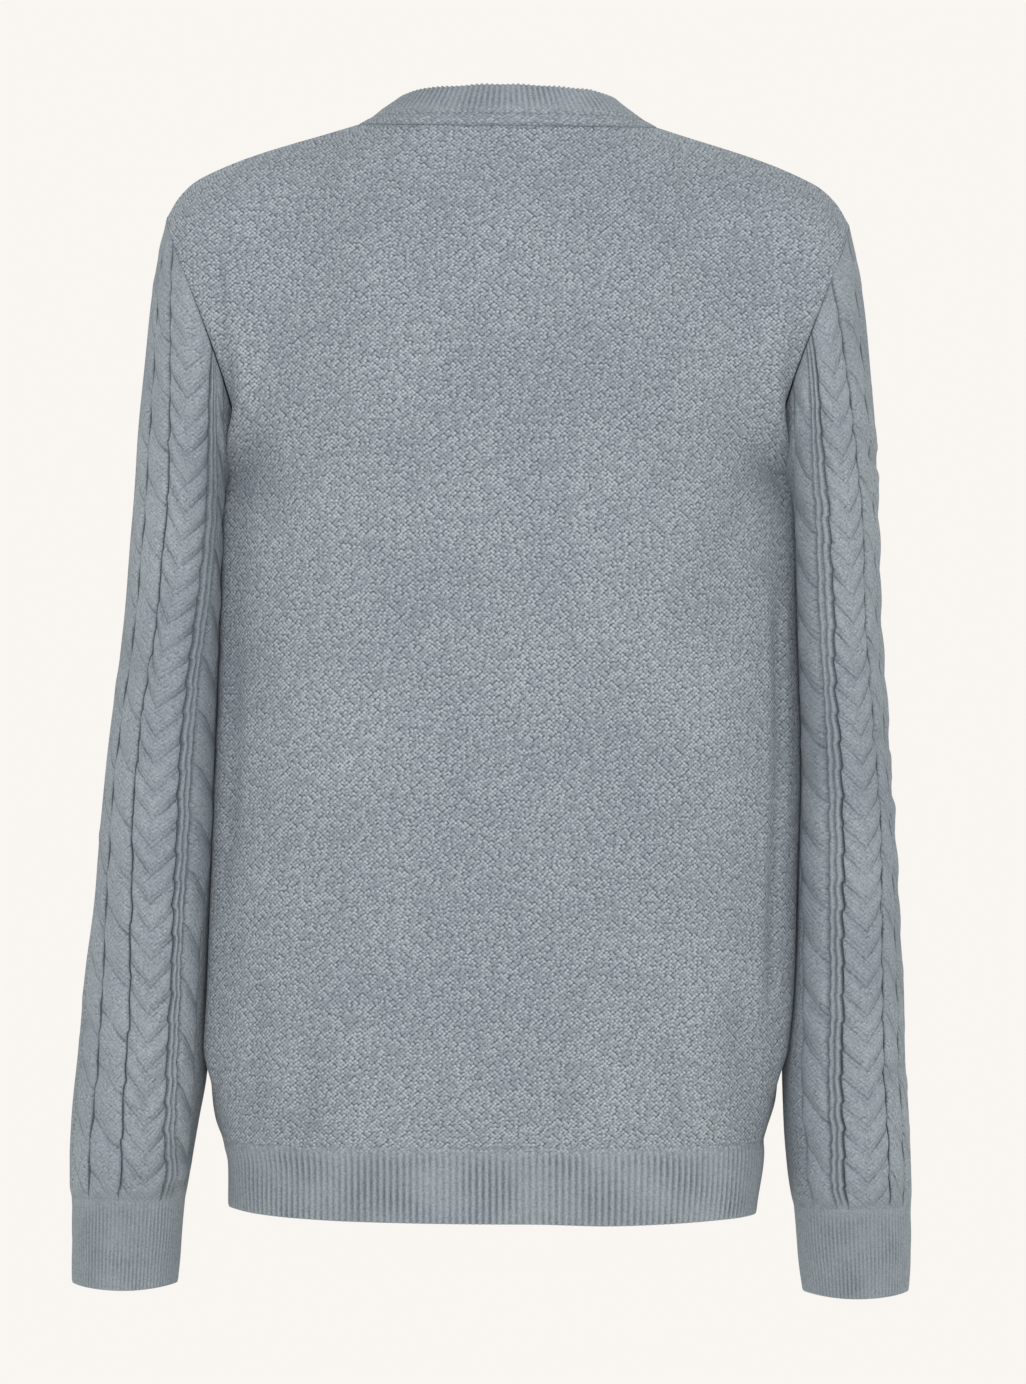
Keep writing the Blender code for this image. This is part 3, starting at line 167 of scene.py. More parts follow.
def ease(t):
    """A soft step from 0 at t = 0 to 1 at t = 1."""
    t = np.clip(t, 0.0, 1.0)
    return t * t * (3.0 - 2.0 * t)


def hill(x, half):
    """A smooth hill, 1 at x = 0 and about a third at a distance of half."""
    return np.exp(-(x / half) ** 2)


def unit(v):
    """Vectors of length 1 with the directions of v."""
    return v / np.maximum(np.linalg.norm(v, axis=-1, keepdims=True), 1e-9)


def run_of(points):
    """Distance covered from the first point of a line to each of its points."""
    return np.concatenate([[0.0], np.cumsum(np.linalg.norm(np.diff(points, axis=0), axis=1))])


def along(points, shares):
    """Points at the given shares of a line's length."""
    run = run_of(points)
    want = np.asarray(shares) * run[-1]
    return np.stack([np.interp(want, run, points[:, k]) for k in range(3)], axis=1)


def wobble(x, y, seed, scale):
    """A soft field of hills about -1 to 1, the same in every run; scale is a hill's size."""
    rng = np.random.default_rng(seed)
    total = np.zeros(np.broadcast(x, y).shape)
    for _ in range(9):
        turn, phase = rng.uniform(0, 2 * np.pi, 2)
        size = scale * rng.uniform(0.7, 1.6)
        total += np.sin((np.cos(turn) * x + np.sin(turn) * y) * 2 * np.pi / size + phase)
    return total / 4.0


print("a quarter of the way along, the soft step has reached", ease(0.25))

# %% [markdown]
# ## The body's surface
#
# Under the arms the body is a stack of rounded sections. Above them each column of the cloth is
# one cubic that rises from the chest and comes in over the shoulder or up to the neck.


# %% Body surface
def section(z, facing, shares, mirror=False):
    """Half a body section at one height, from the left side round the back (-1) or front (+1)."""
    left, right, behind, ahead = smooth(BODY, z)[0]
    if mirror:
        left, right = -right, -left
    a = np.linspace(0.0, np.pi, 361)
    depth = behind if facing < 0 else ahead
    swing = np.sign(np.cos(a)) * np.abs(np.cos(a)) ** (2 / BODY_POWER)
    x = (left + right) / 2 - (right - left) / 2 * swing
    y = facing * depth * np.sin(a) ** (2 / BODY_POWER)
    return along(np.stack([x, y, np.full_like(a, z)], axis=1), shares)


def armhole_pulls(facing):
    """Which way the armhole's edge leaves the underarm, and which way it reaches the shoulder tip."""
    at_low = np.array([0.0, facing * ARMHOLE_LOW_OUT, ARMHOLE_LOW_UP])
    at_top = np.array([0.0, -facing * ARMHOLE_TOP_OUT, ARMHOLE_TOP_UP])
    return at_low, at_top


def armhole(side, facing, t):
    """Armhole edge from underarm (0) to shoulder tip (1); side is -1 left, +1 right."""
    t = np.atleast_1d(t)[:, None]
    low = np.array([side * UNDERARM_X, 0.0, UNDERARM_Z])
    tip = np.array([side * SHOULDER[-1, 0], 0.0, SHOULDER[-1, 1]])
    return hermite(low, tip, *armhole_pulls(facing), t)


def neck_seam(angle, facing):
    """Where the neckband is linked on; angle 0 is the wearer's left, pi the right."""
    x = -NECK_HALF_WIDTH * np.cos(angle)
    s = np.sin(angle)
    if facing < 0:
        return np.stack([x, -NECK_BACK_DEPTH * s, -NECK_BACK_DROP * s], axis=-1)
    return np.stack([x, NECK_FRONT_DEPTH * s, -NECK_FRONT_DROP * s ** NECK_ROUND], axis=-1)


BAND_ANGLE = np.arccos((BAND_HALF + SEAM) / NECK_HALF_WIDTH)      # where the neck seam meets a band


def collar_edge(angle, facing):
    """Free upper edge of the neckband."""
    x = -COLLAR_HALF_WIDTH * np.cos(angle)
    s = np.sin(angle)
    if facing < 0:
        rise = COLLAR_SIDE_HEIGHT + (COLLAR_BACK_HEIGHT - COLLAR_SIDE_HEIGHT) * s
        return np.stack([x, -COLLAR_BACK_DEPTH * s, rise], axis=-1)
    seam_x = -NECK_HALF_WIDTH * np.cos(angle)
    narrow = ease((np.abs(seam_x) - BAND_HALF - SEAM) / LAP_RUN)
    x = seam_x * (1.0 - narrow) + x * narrow
    drop = COLLAR_SIDE_HEIGHT + (COLLAR_FRONT_HEIGHT - COLLAR_SIDE_HEIGHT) * s ** NECK_ROUND
    return np.stack([x, COLLAR_FRONT_DEPTH * s, drop], axis=-1)


def shoulder(side, share):
    """Shoulder seam; share 0 is the tip, 1 the neck."""
    line = np.stack([side * SHOULDER[::-1, 0], 0 * SHOULDER[::-1, 0], SHOULDER[::-1, 1]], axis=1)
    keys = np.linspace(0.0, 1.0, len(line))
    dense = smooth(np.column_stack([keys, line]), np.linspace(0.0, 1.0, 90))
    return along(dense, np.atleast_1d(share))


def band_share(z, mirror=False):
    """Share of the front half section at which the front meets its band."""
    dense = np.linspace(0.0, 0.6, 480)
    x = section(z, 1, dense, mirror)[:, 0]
    return float(np.interp(-(BAND_HALF + SEAM), x, dense))


PULL_TURN = 28.0              # degrees by which the columns under the shoulder seam lean inward
PULL_LENGTH = 255.0           # how strong the pull is there; at the neck it goes with the height
SIDE_SHARE = 0.2              # share of a half section over which the armhole's edge is felt
CHEST_PUSH = 30.0             # how far the chest pushes the columns beside the armhole outward


def pulls(facing, under, angle, height):
    """How the columns come in at their upper ends; under is 0 to 1 under the shoulder seam."""
    deg = np.degrees(angle)
    plan = 90.0 - PULL_TURN * ease((under - 0.2) / 0.8) + PULL_TURN * ease((deg - 10.0) / 70.0)
    rise = 11.0 + 6.0 * ease(under) + 47.0 * ease(deg / 85.0)
    length = PULL_LENGTH + (0.82 * height - PULL_LENGTH) * ease(deg / 75.0) * (deg > 0)
    plan, rise = np.radians(plan), np.radians(rise)
    flat = length * np.cos(rise)
    return np.stack([flat * np.cos(plan), -facing * flat * np.sin(plan), length * np.sin(rise)], axis=1)


def from_side(shares, facing):
    """Shares of a section counted from the nearer side seam; a front has only one."""
    return np.minimum(shares, 1.0 - shares) if facing < 0 else shares


def yoke(facing, shares, under, angle, tops, v):
    """Columns of a panel [column, row] from the chest row (v 0) to their ends (v 1)."""
    chest = section(UNDERARM_Z, facing, shares)
    half = from_side(shares, facing)
    side_weight = (1.0 - ease(half / SIDE_SHARE))[:, None]
    neck_weight = ease((half - SIDE_SHARE) / SIDE_SHARE)
    height = tops[:, 2] - UNDERARM_Z
    low_edge, top_edge = armhole_pulls(facing)
    low_mid = np.stack([0 * height, facing * CHEST_PUSH * (1 - neck_weight), height], axis=1)
    turned = np.where(angle > np.pi / 2, np.pi - angle, angle)
    top_mid = pulls(facing, under, turned, height)
    top_mid[:, 0] *= np.where(shares > 0.5, -1.0, 1.0) if facing < 0 else 1.0
    m0 = low_edge * side_weight + low_mid * (1 - side_weight)
    m1 = top_edge * side_weight + top_mid * (1 - side_weight)
    v = v[None, :, None]
    return hermite(chest[:, None], tops[:, None], m0[:, None], m1[:, None], v)


def panel_base(facing, mirror, columns, low_rows, high_rows):
    """The bare surface of a panel as [column, row, xyz], and which of its columns end at the neck."""
    last = 1.0 if facing < 0 else band_share(UNDERARM_Z)
    shares = np.linspace(0.0, last, columns)
    under = np.clip(from_side(shares, facing) / SHOULDER_SHARE, 0.0, 1.0)
    if facing < 0:
        angle = np.pi * np.clip((shares - SHOULDER_SHARE) / (1 - 2 * SHOULDER_SHARE), 0.0, 1.0)
    else:
        angle = BAND_ANGLE * np.clip((shares - SHOULDER_SHARE) / (shares[-1] - SHOULDER_SHARE), 0.0, 1.0)
    in_neck = (angle > 0.0) & (angle < np.pi)
    tops = shoulder(-1, under)
    if facing < 0:
        tops[shares > 0.5] *= FLIP
    tops[in_neck] = neck_seam(angle[in_neck], facing)
    z_low = np.linspace(HEM_SEAM_Z, UNDERARM_Z, low_rows + 1)[:-1]
    low = []
    for z in z_low:
        reach = band_share(z, mirror) / shares[-1] if facing > 0 else 1.0
        low.append(section(z, facing, shares * reach, mirror))
    high = yoke(facing, shares, under, angle, tops, np.linspace(0.0, 1.0, high_rows + 1))
    return np.concatenate([np.array(low).transpose(1, 0, 2), high], axis=1), in_neck


def relax(grid, rounds):
    """Takes the small bends out of a surface; its four edges stay as they are."""
    grid = grid.copy()
    for _ in range(rounds):
        mean = (grid[:-2, 1:-1] + grid[2:, 1:-1] + grid[1:-1, :-2] + grid[1:-1, 2:]) / 4
        grid[1:-1, 1:-1] += 0.9 * (mean - grid[1:-1, 1:-1])
    return grid


half_rounds = [run_of(section(UNDERARM_Z, facing, np.linspace(0.0, 1.0, 361)))[-1] for facing in (-1, 1)]
print(f"the chest is {sum(half_rounds):.0f} mm round")

# %% [markdown]
# ## The sleeves' surface
#
# A sleeve is a tube that is narrow from side to side and deep from front to back, as it lies along
# the body. A place on it is given by the distance round it from its outermost line, and the height.


# %% Sleeve surface
def sleeve_table(side):
    return SLEEVE_LEFT if side < 0 else SLEEVE_RIGHT


def sleeve_rings(side, facing, c, z):
    """Points [column, row] of the tube at distances c [column, row] round it and heights z."""
    outer, inner, half = smooth(sleeve_table(side), z).T
    a = np.linspace(0.0, np.pi, 241)
    rows = []
    for k, height in enumerate(z):
        x = (outer[k] + inner[k]) / 2 + (outer[k] - inner[k]) / 2 * np.cos(a)
        y = half[k] * np.sin(a)
        run = np.concatenate([[0.0], np.cumsum(np.hypot(np.diff(x), np.diff(y)))])
        zone = min(CABLE_ZONE, 0.86 * run[-1])
        past = (c[:, k] - CABLE_ZONE) / (SLEEVE_HALF - CABLE_ZONE)
        s = np.where(c[:, k] <= CABLE_ZONE, c[:, k] * zone / CABLE_ZONE, zone + past * (run[-1] - zone))
        rows.append(np.stack([side * np.interp(s, run, x), facing * np.interp(s, run, y),
                              np.full_like(s, height)], axis=1))
    return np.array(rows).transpose(1, 0, 2)


CAP_STEP = 12.0               # how far under the cap the sleeve's own direction is read
# the cap at the armhole: distance round the sleeve, how much it leans in for each mm that it rises
CAP_LEAN = np.array([(0.0, 0.2), (40.0, 0.12), (70.0, 0.02), (120.0, 0.2), (SLEEVE_HALF, 0.3)])
CAP_TUCK, CAP_TUCK_RUN = 0.12, 100.0


def sleeve_cap(side, facing, c, v):
    """Points [column, row] of the sleeve from its highest full section (v 0) to the armhole (v 1)."""
    z0 = sleeve_table(side)[0, 0]
    pair = np.stack([c, c], axis=1)
    base, below = sleeve_rings(side, facing, pair, np.array([z0, z0 - CAP_STEP])).transpose(1, 0, 2)
    top = armhole(side, facing, np.interp(c, CAP[:, 0], CAP[:, 1]))
    height = (top[:, 2] - z0)[:, None]
    lean_in = np.interp(c, CAP_LEAN[:, 0], CAP_LEAN[:, 1])
    tuck = -facing * CAP_TUCK * np.sin(np.pi * np.minimum(c / CAP_TUCK_RUN, 1.0))
    m0 = (base - below) / CAP_STEP * height
    m1 = np.stack([-side * lean_in, tuck, np.ones_like(c)], axis=1) * height
    return hermite(base[:, None], top[:, None], m0[:, None], m1[:, None], v[None, :, None])


widths = [table[0, 1] - table[0, 2] for table in (SLEEVE_LEFT, SLEEVE_RIGHT)]
print(f"the sleeves are {widths[0]:.0f} and {widths[1]:.0f} mm wide under the arm")

# %% [markdown]
# ## Where the cables run
#
# In the knitting pattern the cables have fixed widths: two ropes, a horseshoe, a double rib and one
# more rope, from the sleeve's outermost line to its inner side. On the arm the sleeve is turned
# and stretched, so each line wanders. The tables give its true distance round the sleeve.

# %% Lines of the cables
# pattern places, counted from the outermost line: outer, middle and inner are the three ropes
OUTER_ROPE, MIDDLE_ROPE, HORSESHOE, V_MIDDLE = 19.0, 38.0, 59.5, 72.0
DOUBLE_RIB, RIB_MIDDLE, INNER_ROPE, PLAIN = 84.5, 88.4, 92.5, 110.0
V_HALF = V_MIDDLE - HORSESHOE
KNOTS = np.array([0.0, MIDDLE_ROPE, HORSESHOE, V_MIDDLE, DOUBLE_RIB, INNER_ROPE, PLAIN, SLEEVE_HALF])
# height, then the true distance round the sleeve of each line between the two edges
LINES_LEFT = np.array([
    (-235.0, 49.0, 67.8, 78.2, 94.5, 107.5, 124.0), (-270.0, 47.0, 67.0, 76.6, 92.8, 104.5, 123.0),
    (-300.0, 46.0, 66.0, 73.6, 90.6, 100.5, 122.0), (-330.0, 43.5, 63.0, 70.4, 87.8, 95.8, 121.0),
    (-375.0, 38.6, 59.2, 70.6, 86.3, 94.2, 122.0), (-405.0, 37.0, 58.2, 70.8, 86.1, 93.9, 124.0),
    (-434.0, 37.1, 58.5, 70.9, 85.8, 93.0, 122.0), (-464.0, 38.5, 59.5, 71.4, 85.2, 92.0, 116.0),
    (-494.0, 40.2, 60.8, 72.6, 86.0, 92.0, 110.5), (-524.0, 42.2, 62.3, 73.5, 86.9, 92.8, 109.6),
    (-554.0, 42.5, 62.5, 74.2, 87.0, 93.3, 110.0), (-584.0, 42.0, 62.5, 75.0, 87.6, 94.6, 112.0),
    (-614.0, 39.7, 61.6, 75.2, 88.4, 96.2, 114.0), (-643.0, 37.0, 59.5, 75.2, 89.6, 98.5, 116.0)])
LINES_RIGHT = np.array([
    (-235.0, 34.0, 53.5, 64.8, 76.6, 85.6, 114.0), (-285.0, 34.0, 54.0, 65.3, 76.4, 85.8, 115.0),
    (-315.0, 33.0, 52.2, 64.8, 76.4, 84.8, 115.5), (-345.0, 32.0, 50.8, 63.2, 75.6, 83.0, 115.0),
    (-375.0, 30.5, 48.0, 61.2, 74.2, 81.8, 114.0), (-405.0, 28.5, 45.0, 60.0, 72.9, 81.0, 112.0),
    (-434.0, 28.0, 44.2, 58.9, 72.2, 80.3, 110.0), (-464.0, 29.0, 45.3, 58.4, 72.4, 80.2, 107.0),
    (-494.0, 29.5, 46.2, 58.5, 72.4, 80.0, 104.0), (-524.0, 29.0, 45.4, 57.9, 72.4, 79.5, 101.5),
    (-553.0, 28.0, 44.1, 56.8, 72.0, 79.3, 99.5), (-583.0, 27.0, 42.5, 56.0, 71.6, 79.2, 98.5),
    (-613.0, 26.0, 41.0, 55.3, 70.2, 77.3, 95.5), (-648.0, 25.0, 38.5, 54.1, 68.5, 75.8, 92.5)])
# the same lines where they end at the armhole
ENDS_LEFT = np.array([0.0, 45.0, 65.0, 78.0, 98.0, 101.5, 110.0, SLEEVE_HALF])
ENDS_RIGHT = np.array([0.0, 50.0, 75.0, 81.0, 90.0, 94.5, 109.0, SLEEVE_HALF])
ROPE_PERIOD, V_PERIOD = 31.8, 16.6
V_START = -233.4              # height of one lowest point of the horseshoes
V_SLOPE_IN, V_SLOPE_OUT = 1.1, 1.35
ROPE_SWING = 0.6              # share of a repeat over which a strand crosses
# heights where one crossing of each rope starts, left and right: inner rope, middle rope, outer rope
ROPE_STARTS = {-1: (-222.6, -210.7, -240.0), 1: (-373.8, -389.3, -240.0)}
SCALLOP = 1.4                 # how far the horseshoe's strands push the line beside the ribs


def line_places(side, k, z):
    """Distance round the sleeve [column, row] of pattern places k at heights z."""
    table = smooth(LINES_LEFT if side < 0 else LINES_RIGHT, z)
    edge = np.zeros((len(table), 1))
    full = np.concatenate([edge, table, edge + SLEEVE_HALF], axis=1)
    return np.stack([np.interp(k, KNOTS, row) for row in full], axis=1)


def scallops(side, k, z):
    """Small jogs of the lines where strands leave them, in mm, for k and z [column, row]."""
    branch = V_START + V_SLOPE_IN * V_HALF
    t = np.mod((branch - z) / V_PERIOD, 1.0) - 0.5
    rope_in, rope_mid, _ = ROPE_STARTS[side]
    t_in = np.mod((rope_in - z) / ROPE_PERIOD, 1.0) - 0.5
    t_mid = np.mod((rope_mid - z) / ROPE_PERIOD - side * ROPE_SWING, 1.0) - 0.5
    return (-SCALLOP * t * hill(k - DOUBLE_RIB, 4.5)
            + 0.55 * wobble(k * 0.4, z, 7, 17.0) * (k < 125.0)
            + 0.4 * np.sin(2 * np.pi * z / 9.0) * hill(k - INNER_ROPE, 2.5)
            + 0.9 * t_mid * hill(k - HORSESHOE, 4.0)
            + 1.3 * t_in * hill(k - PLAIN, 5.0)
            + 0.7 * t_mid * hill(k - MIDDLE_ROPE, 4.0))


def tube(side, facing, k, z):
    """The straight part of a sleeve, its columns along the lines of the pattern."""
    c = line_places(side, k, z)
    c = c + scallops(side, k[:, None], z[None, :])
    return sleeve_rings(side, facing, np.clip(c, 0.0, SLEEVE_HALF), z)


def cap(side, facing, k, v):
    """The upper end of a sleeve, its columns along the lines of the pattern."""
    fine = np.linspace(0.0, SLEEVE_HALF, 309)
    surface = sleeve_cap(side, facing, fine, v)
    start = line_places(side, k, sleeve_table(side)[:1, 0])
    end = np.interp(k, KNOTS, ENDS_LEFT if side < 0 else ENDS_RIGHT)[:, None]
    c = start * (1.0 - v) + end * v

    def pick(c):
        """Points of the surface at distances c [column, row] round the sleeve."""
        rows = [[np.interp(c[:, j], fine, surface[:, j, axis]) for axis in range(3)] for j in range(len(v))]
        return np.array(rows).transpose(2, 0, 1)

    z = pick(c)[..., 2]
    return pick(np.clip(c + scallops(side, k[:, None], z) * (1.0 - ease(v)), 0.0, SLEEVE_HALF))


sleeve_run = SLEEVE_LEFT[0, 0] - SLEEVE_LEFT[-1, 0]
print(f"{sleeve_run / ROPE_PERIOD:.0f} repeats of a rope, {sleeve_run / V_PERIOD:.0f} of the horseshoe")

# %% [markdown]
# ## The cables as a relief
#
# A rope is two strands that cross again and again, and the horseshoe is a stack of V shapes. Both
# are given by a phase: where it is a whole number, one strand goes under the next, and a dark line
# of painted shade shows there. The stitches of a strand run beside that line, so they are counted in the
# same phase.

# %% Relief of the cables
# furrows between the cables: pattern place, how dark their painted shade is
GROOVES = ((OUTER_ROPE, 0.6), (MIDDLE_ROPE, 1.0), (HORSESHOE, 1.0), (DOUBLE_RIB, 1.0),
           (RIB_MIDDLE, 0.7), (INNER_ROPE, 1.0), (PLAIN, 0.9))
GROOVE_HALF = 0.85            # half width of such a furrow
# the ropes, in the order of ROPE_STARTS: where each begins, how wide, how high
ROPES = ((INNER_ROPE, 17.5, 3.2), (MIDDLE_ROPE, 21.5, 3.3), (OUTER_ROPE, 19.0, 3.0))
V_RISE = 3.1                  # height of the horseshoe
RIDGE_RISE, RIDGE_PITCH = 2.6, 4.0    # the double rib: height of a ridge, from one to the next
V_STITCHES, ROPE_STITCHES = 5, 8      # rows of stitches across one strand
V_PITCH, ROPE_PITCH = 11.6, 19.0      # mm from one dark line to the next, square to them


def rope_phase(side, q, z, start):
    """Counts the crossings of a rope; q is 0 to 1 from one of its sides to the other."""
    swing = q - 0.4 * np.sin(2 * np.pi * q) / (2 * np.pi)
    return (z - start) / ROPE_PERIOD - side * ROPE_SWING * swing


def v_phase(x, z):
    """Counts the V shapes of the horseshoe; x is the distance from its middle."""
    return (z - V_START - np.where(x > 0, V_SLOPE_IN, V_SLOPE_OUT) * np.abs(x)) / V_PERIOD


def bulge(phase):
    """0 where the phase is a whole number, 1 half way between."""
    return 0.5 - 0.5 * np.cos(2 * np.pi * phase)


def strand(phase, across, flat, steep):
    """How high a cable's strand stands, 0 to 1; across is -1 to 1 from side to side of the cable."""
    dome = np.clip(1.0 - np.abs(across) ** flat, 0.0, 1.0) ** steep
    return dome * (0.5 + 0.5 * bulge(phase) ** 0.7)


def cable_relief(side, k, z):
    """What the cables do at pattern place k and height z: a dict of arrays."""
    height, phase, hatch = np.zeros_like(z), np.full_like(z, 0.5), np.zeros_like(z)
    line, pitch = np.zeros_like(z), np.full_like(z, V_PITCH)
    for (start, width, rise), from_z in zip(ROPES, ROPE_STARTS[side]):
        inside = (k >= start) & (k < start + width)
        q = np.clip((k - start) / width, 0.0, 1.0)
        w = rope_phase(side, q, z, from_z)
        height = np.where(inside, rise * strand(w, 2.0 * q - 1.0, 3.0, 0.55), height)
        phase, hatch = np.where(inside, w, phase), np.where(inside, w * ROPE_STITCHES, hatch)
        line = np.where(inside, 0.6 + 0.4 * np.abs(2.0 * q - 1.0) ** 1.5, line)
        pitch = np.where(inside, ROPE_PITCH, pitch)
    inside = (k >= HORSESHOE) & (k < DOUBLE_RIB)
    x = k - V_MIDDLE
    w = v_phase(x, z)
    height = np.where(inside, V_RISE * strand(w, x / V_HALF, 5.0, 0.5), height)
    phase, hatch = np.where(inside, w, phase), np.where(inside, w * V_STITCHES, hatch)
    towards_ribs, away_from_ribs = 0.55 + 0.45 * ease((x - 0.5) / 9.0), 0.6 + 0.3 * ease(-x / 9.0)
    line = np.where(inside, np.where(x > 0, towards_ribs, away_from_ribs), line)
    ribs = (k >= DOUBLE_RIB) & (k < INNER_ROPE)
    rib_count = (k - DOUBLE_RIB) / RIDGE_PITCH
    ridge = np.sqrt(np.clip(np.sin(np.pi * np.mod(rib_count, 1.0)), 0.0, 1.0))
    height = np.where(ribs, RIDGE_RISE * ridge, height)
    hatch = np.where(ribs, rib_count, hatch)
    # moss stitch on the strip outside the ropes and on the inner side of the arm
    moss = np.where(k < OUTER_ROPE, 1.0 - ease((k - 16.0) / 3.0), 0.85 * ease((k - PLAIN) / 4.0))
    height = np.where(k < OUTER_ROPE, moss, np.where(k >= PLAIN, 0.8 * moss, height))
    # the strands themselves show some of the stitch dots, more in some patches than in others
    dots = 0.38 + 0.18 * np.clip(wobble(k * 1.2, z, 57 + side, 21.0), -1.0, 1.0)
    moss = np.maximum(moss, np.where(ribs, 0.1, dots))
    # painted shade in the furrows between the cables
    painted_shade = sum(depth * hill(k - at, GROOVE_HALF) for at, depth in GROOVES)
    uneven = 0.65 + 0.35 * np.clip(wobble(k * 1.4, z, 31 + side, 26.0), -1.0, 1.0)
    return {"height": height, "phase": phase, "hatch": hatch, "line": line * uneven,
            "pitch": pitch, "moss": moss, "painted_shade": painted_shade * (0.8 + 0.2 * uneven)}


print(len(ROPES), "ropes and", len(GROOVES), "furrows on each side of a sleeve")

# %% [markdown]
# ## From grids to cloth
#
# A piece of cloth is a closed shell: a fine outside with all its relief, a plain inside, and rims.
# Its points keep a few numbers that the wool material reads, such as where they lie in the
# stitches, and how much painted shade they get in a furrow. Building the shell from its own grids,
# and not with a Solidify modifier, leaves the inside coarse, which saves many triangles that nobody sees.


# %% Shell builder
def grid_faces(columns, rows, ring, start=0):
    """Vertex numbers [column, row] of a grid, and its quads; a ring closes on itself."""
    ids = start + np.arange(columns * rows).reshape(columns, rows)
    a = ids if ring else ids[:-1]
    b = np.roll(ids, -1, axis=0) if ring else ids[1:]
    quads = np.stack([a[:, :-1], b[:, :-1], b[:, 1:], a[:, 1:]], axis=-1).reshape(-1, 4)
    return ids, quads


def zipper(first, second):
    """Triangles between two rows of vertex numbers that need not match in count."""
    at_first, at_second = np.linspace(0, 1, len(first)), np.linspace(0, 1, len(second))
    faces, i, j = [], 0, 0
    while i < len(first) - 1 or j < len(second) - 1:
        if j == len(second) - 1 or (
                i < len(first) - 1 and at_first[i + 1] + at_first[i] <= at_second[j + 1] + at_second[j]):
            faces.append((first[i], first[i + 1], second[j]))
            i += 1
        else:
            faces.append((first[i], second[j + 1], second[j]))
            j += 1
    return faces


def edges_of(ids, ring):
    """Rows of vertex numbers along the open edges of a grid."""
    low, top = list(ids[:, 0]), list(ids[:, -1])
    if ring:
        return [low + low[:1], top + top[:1]]
    return [low, top, list(ids[0]), list(ids[-1])]


def lean(points):
    """The wearer's right shoulder hangs a little lower than the left one."""
    moved = points.copy()
    moved[..., 2] -= 0.011 * points[..., 0] * ease((points[..., 2] - UNDERARM_Z) / 100.0)
    return moved


def link(obj, nodes):
    """Puts a piece into the scene, on the one body there is, in place of its CAD nodes."""
    bpy.context.scene.collection.objects.link(obj)
    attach(obj, "root")
    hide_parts(*nodes)
    triangles = sum(len(p.vertices) - 2 for p in obj.data.polygons)
    print(f"{obj.name}: {triangles} triangles")
    return obj


def shell(name, outer, inner, ring, facts, material, nodes):
    """A closed sheet of cloth from an outer and an inner grid [column, row, xyz], in mm."""
    outer_ids, quads = grid_faces(*outer.shape[:2], ring)
    inner_ids, inner_quads = grid_faces(*inner.shape[:2], ring, outer_ids.size)
    faces = [tuple(q) for q in quads.tolist()] + [tuple(q) for q in inner_quads.tolist()]
    for a, b in zip(edges_of(outer_ids, ring), edges_of(inner_ids, ring)):
        faces += zipper([int(k) for k in a], [int(k) for k in b])
    verts = lean(np.concatenate([outer.reshape(-1, 3), inner.reshape(-1, 3)])) * MM
    mesh = bpy.data.meshes.new(name)
    mesh.from_pydata(verts.tolist(), [], faces)
    bm = bmesh.new()
    bm.from_mesh(mesh)
    bmesh.ops.recalc_face_normals(bm, faces=bm.faces)
    for edge in bm.edges:
        ends = [v.index < outer_ids.size for v in edge.verts]
        if len(edge.link_faces) == 2 and ends[0] == ends[1]:
            sides = [all((v.index < outer_ids.size) == ends[0] for v in f.verts) for f in edge.link_faces]
            edge.smooth = sides[0] == sides[1]
    bm.to_mesh(mesh)
    bm.free()
    mesh.shade_smooth()
    across, rows = facts.pop("across"), facts.pop("rows")
    facts.update(weave_a=(across + rows) / 2, weave_b=(across - rows) / 2, legs=rows * 2 * np.pi)
    for key, values in facts.items():
        layer = mesh.attributes.new(key, "FLOAT", "POINT")
        whole = np.zeros(len(verts))
        whole[:outer_ids.size] = values.reshape(-1)
        layer.data.foreach_set("value", whole.astype(np.float32))
    mesh.materials.append(material)
    return link(bpy.data.objects.new(name, mesh), nodes)


def thinned(count, step, ring=False):
    """Every step-th number up to count, with the last one."""
    keep = np.arange(0, count, step)
    return keep if ring else np.unique(np.append(keep, count - 1))


def normals_of(grid, ring, outward):
    """Unit normals of a grid, turned to agree with outward."""
    if ring:
        across = np.roll(grid, -1, axis=0) - np.roll(grid, 1, axis=0)
    else:
        across = np.gradient(grid, axis=0)
    n = unit(np.cross(across, np.gradient(grid, axis=1)))
    return np.where(np.sum(n * outward, axis=-1, keepdims=True) < 0, -n, n)


def area_of(grid, ring):
    """Area of a grid in square metres."""
    a = grid if ring else grid[:-1]
    b = np.roll(grid, -1, axis=0) if ring else grid[1:]
    d1, d2 = b[:, 1:] - a[:, :-1], a[:, 1:] - b[:, :-1]
    return float(np.sum(np.linalg.norm(np.cross(d1, d2), axis=-1)) / 2 * MM * MM)


def declare(obj, grid, ring):
    """States the cut of a piece: its flat width, length and area, measured on its bare surface."""
    closed = np.concatenate([grid, grid[:1]]) if ring else grid
    width = max(run_of(closed[:, k])[-1] for k in range(0, grid.shape[1], 4)) * MM
    length = max(run_of(grid[k])[-1] for k in range(0, grid.shape[0], 4)) * MM
    area = min(area_of(grid, ring), width * length)
    print(f"{obj.name}: cut {width * 1000:.0f} x {length * 1000:.0f} mm, {area:.4f} m2")


def knit(name, bare, n, rise, ring, steps, facts, material, mirror=False):
    """Makes a piece from its bare surface: rise on the outside, every few points of it inside."""
    outer = bare + n * rise[..., None]
    pick = np.ix_(thinned(bare.shape[0], steps[0], ring), thinned(bare.shape[1], steps[1]))
    inner = (bare - n * THICK)[pick]
    if mirror:
        outer, inner = outer * FLIP, inner * FLIP
    obj = shell(name + "_cloth", outer, inner, ring, facts, material, [name])
    declare(obj, bare, ring)


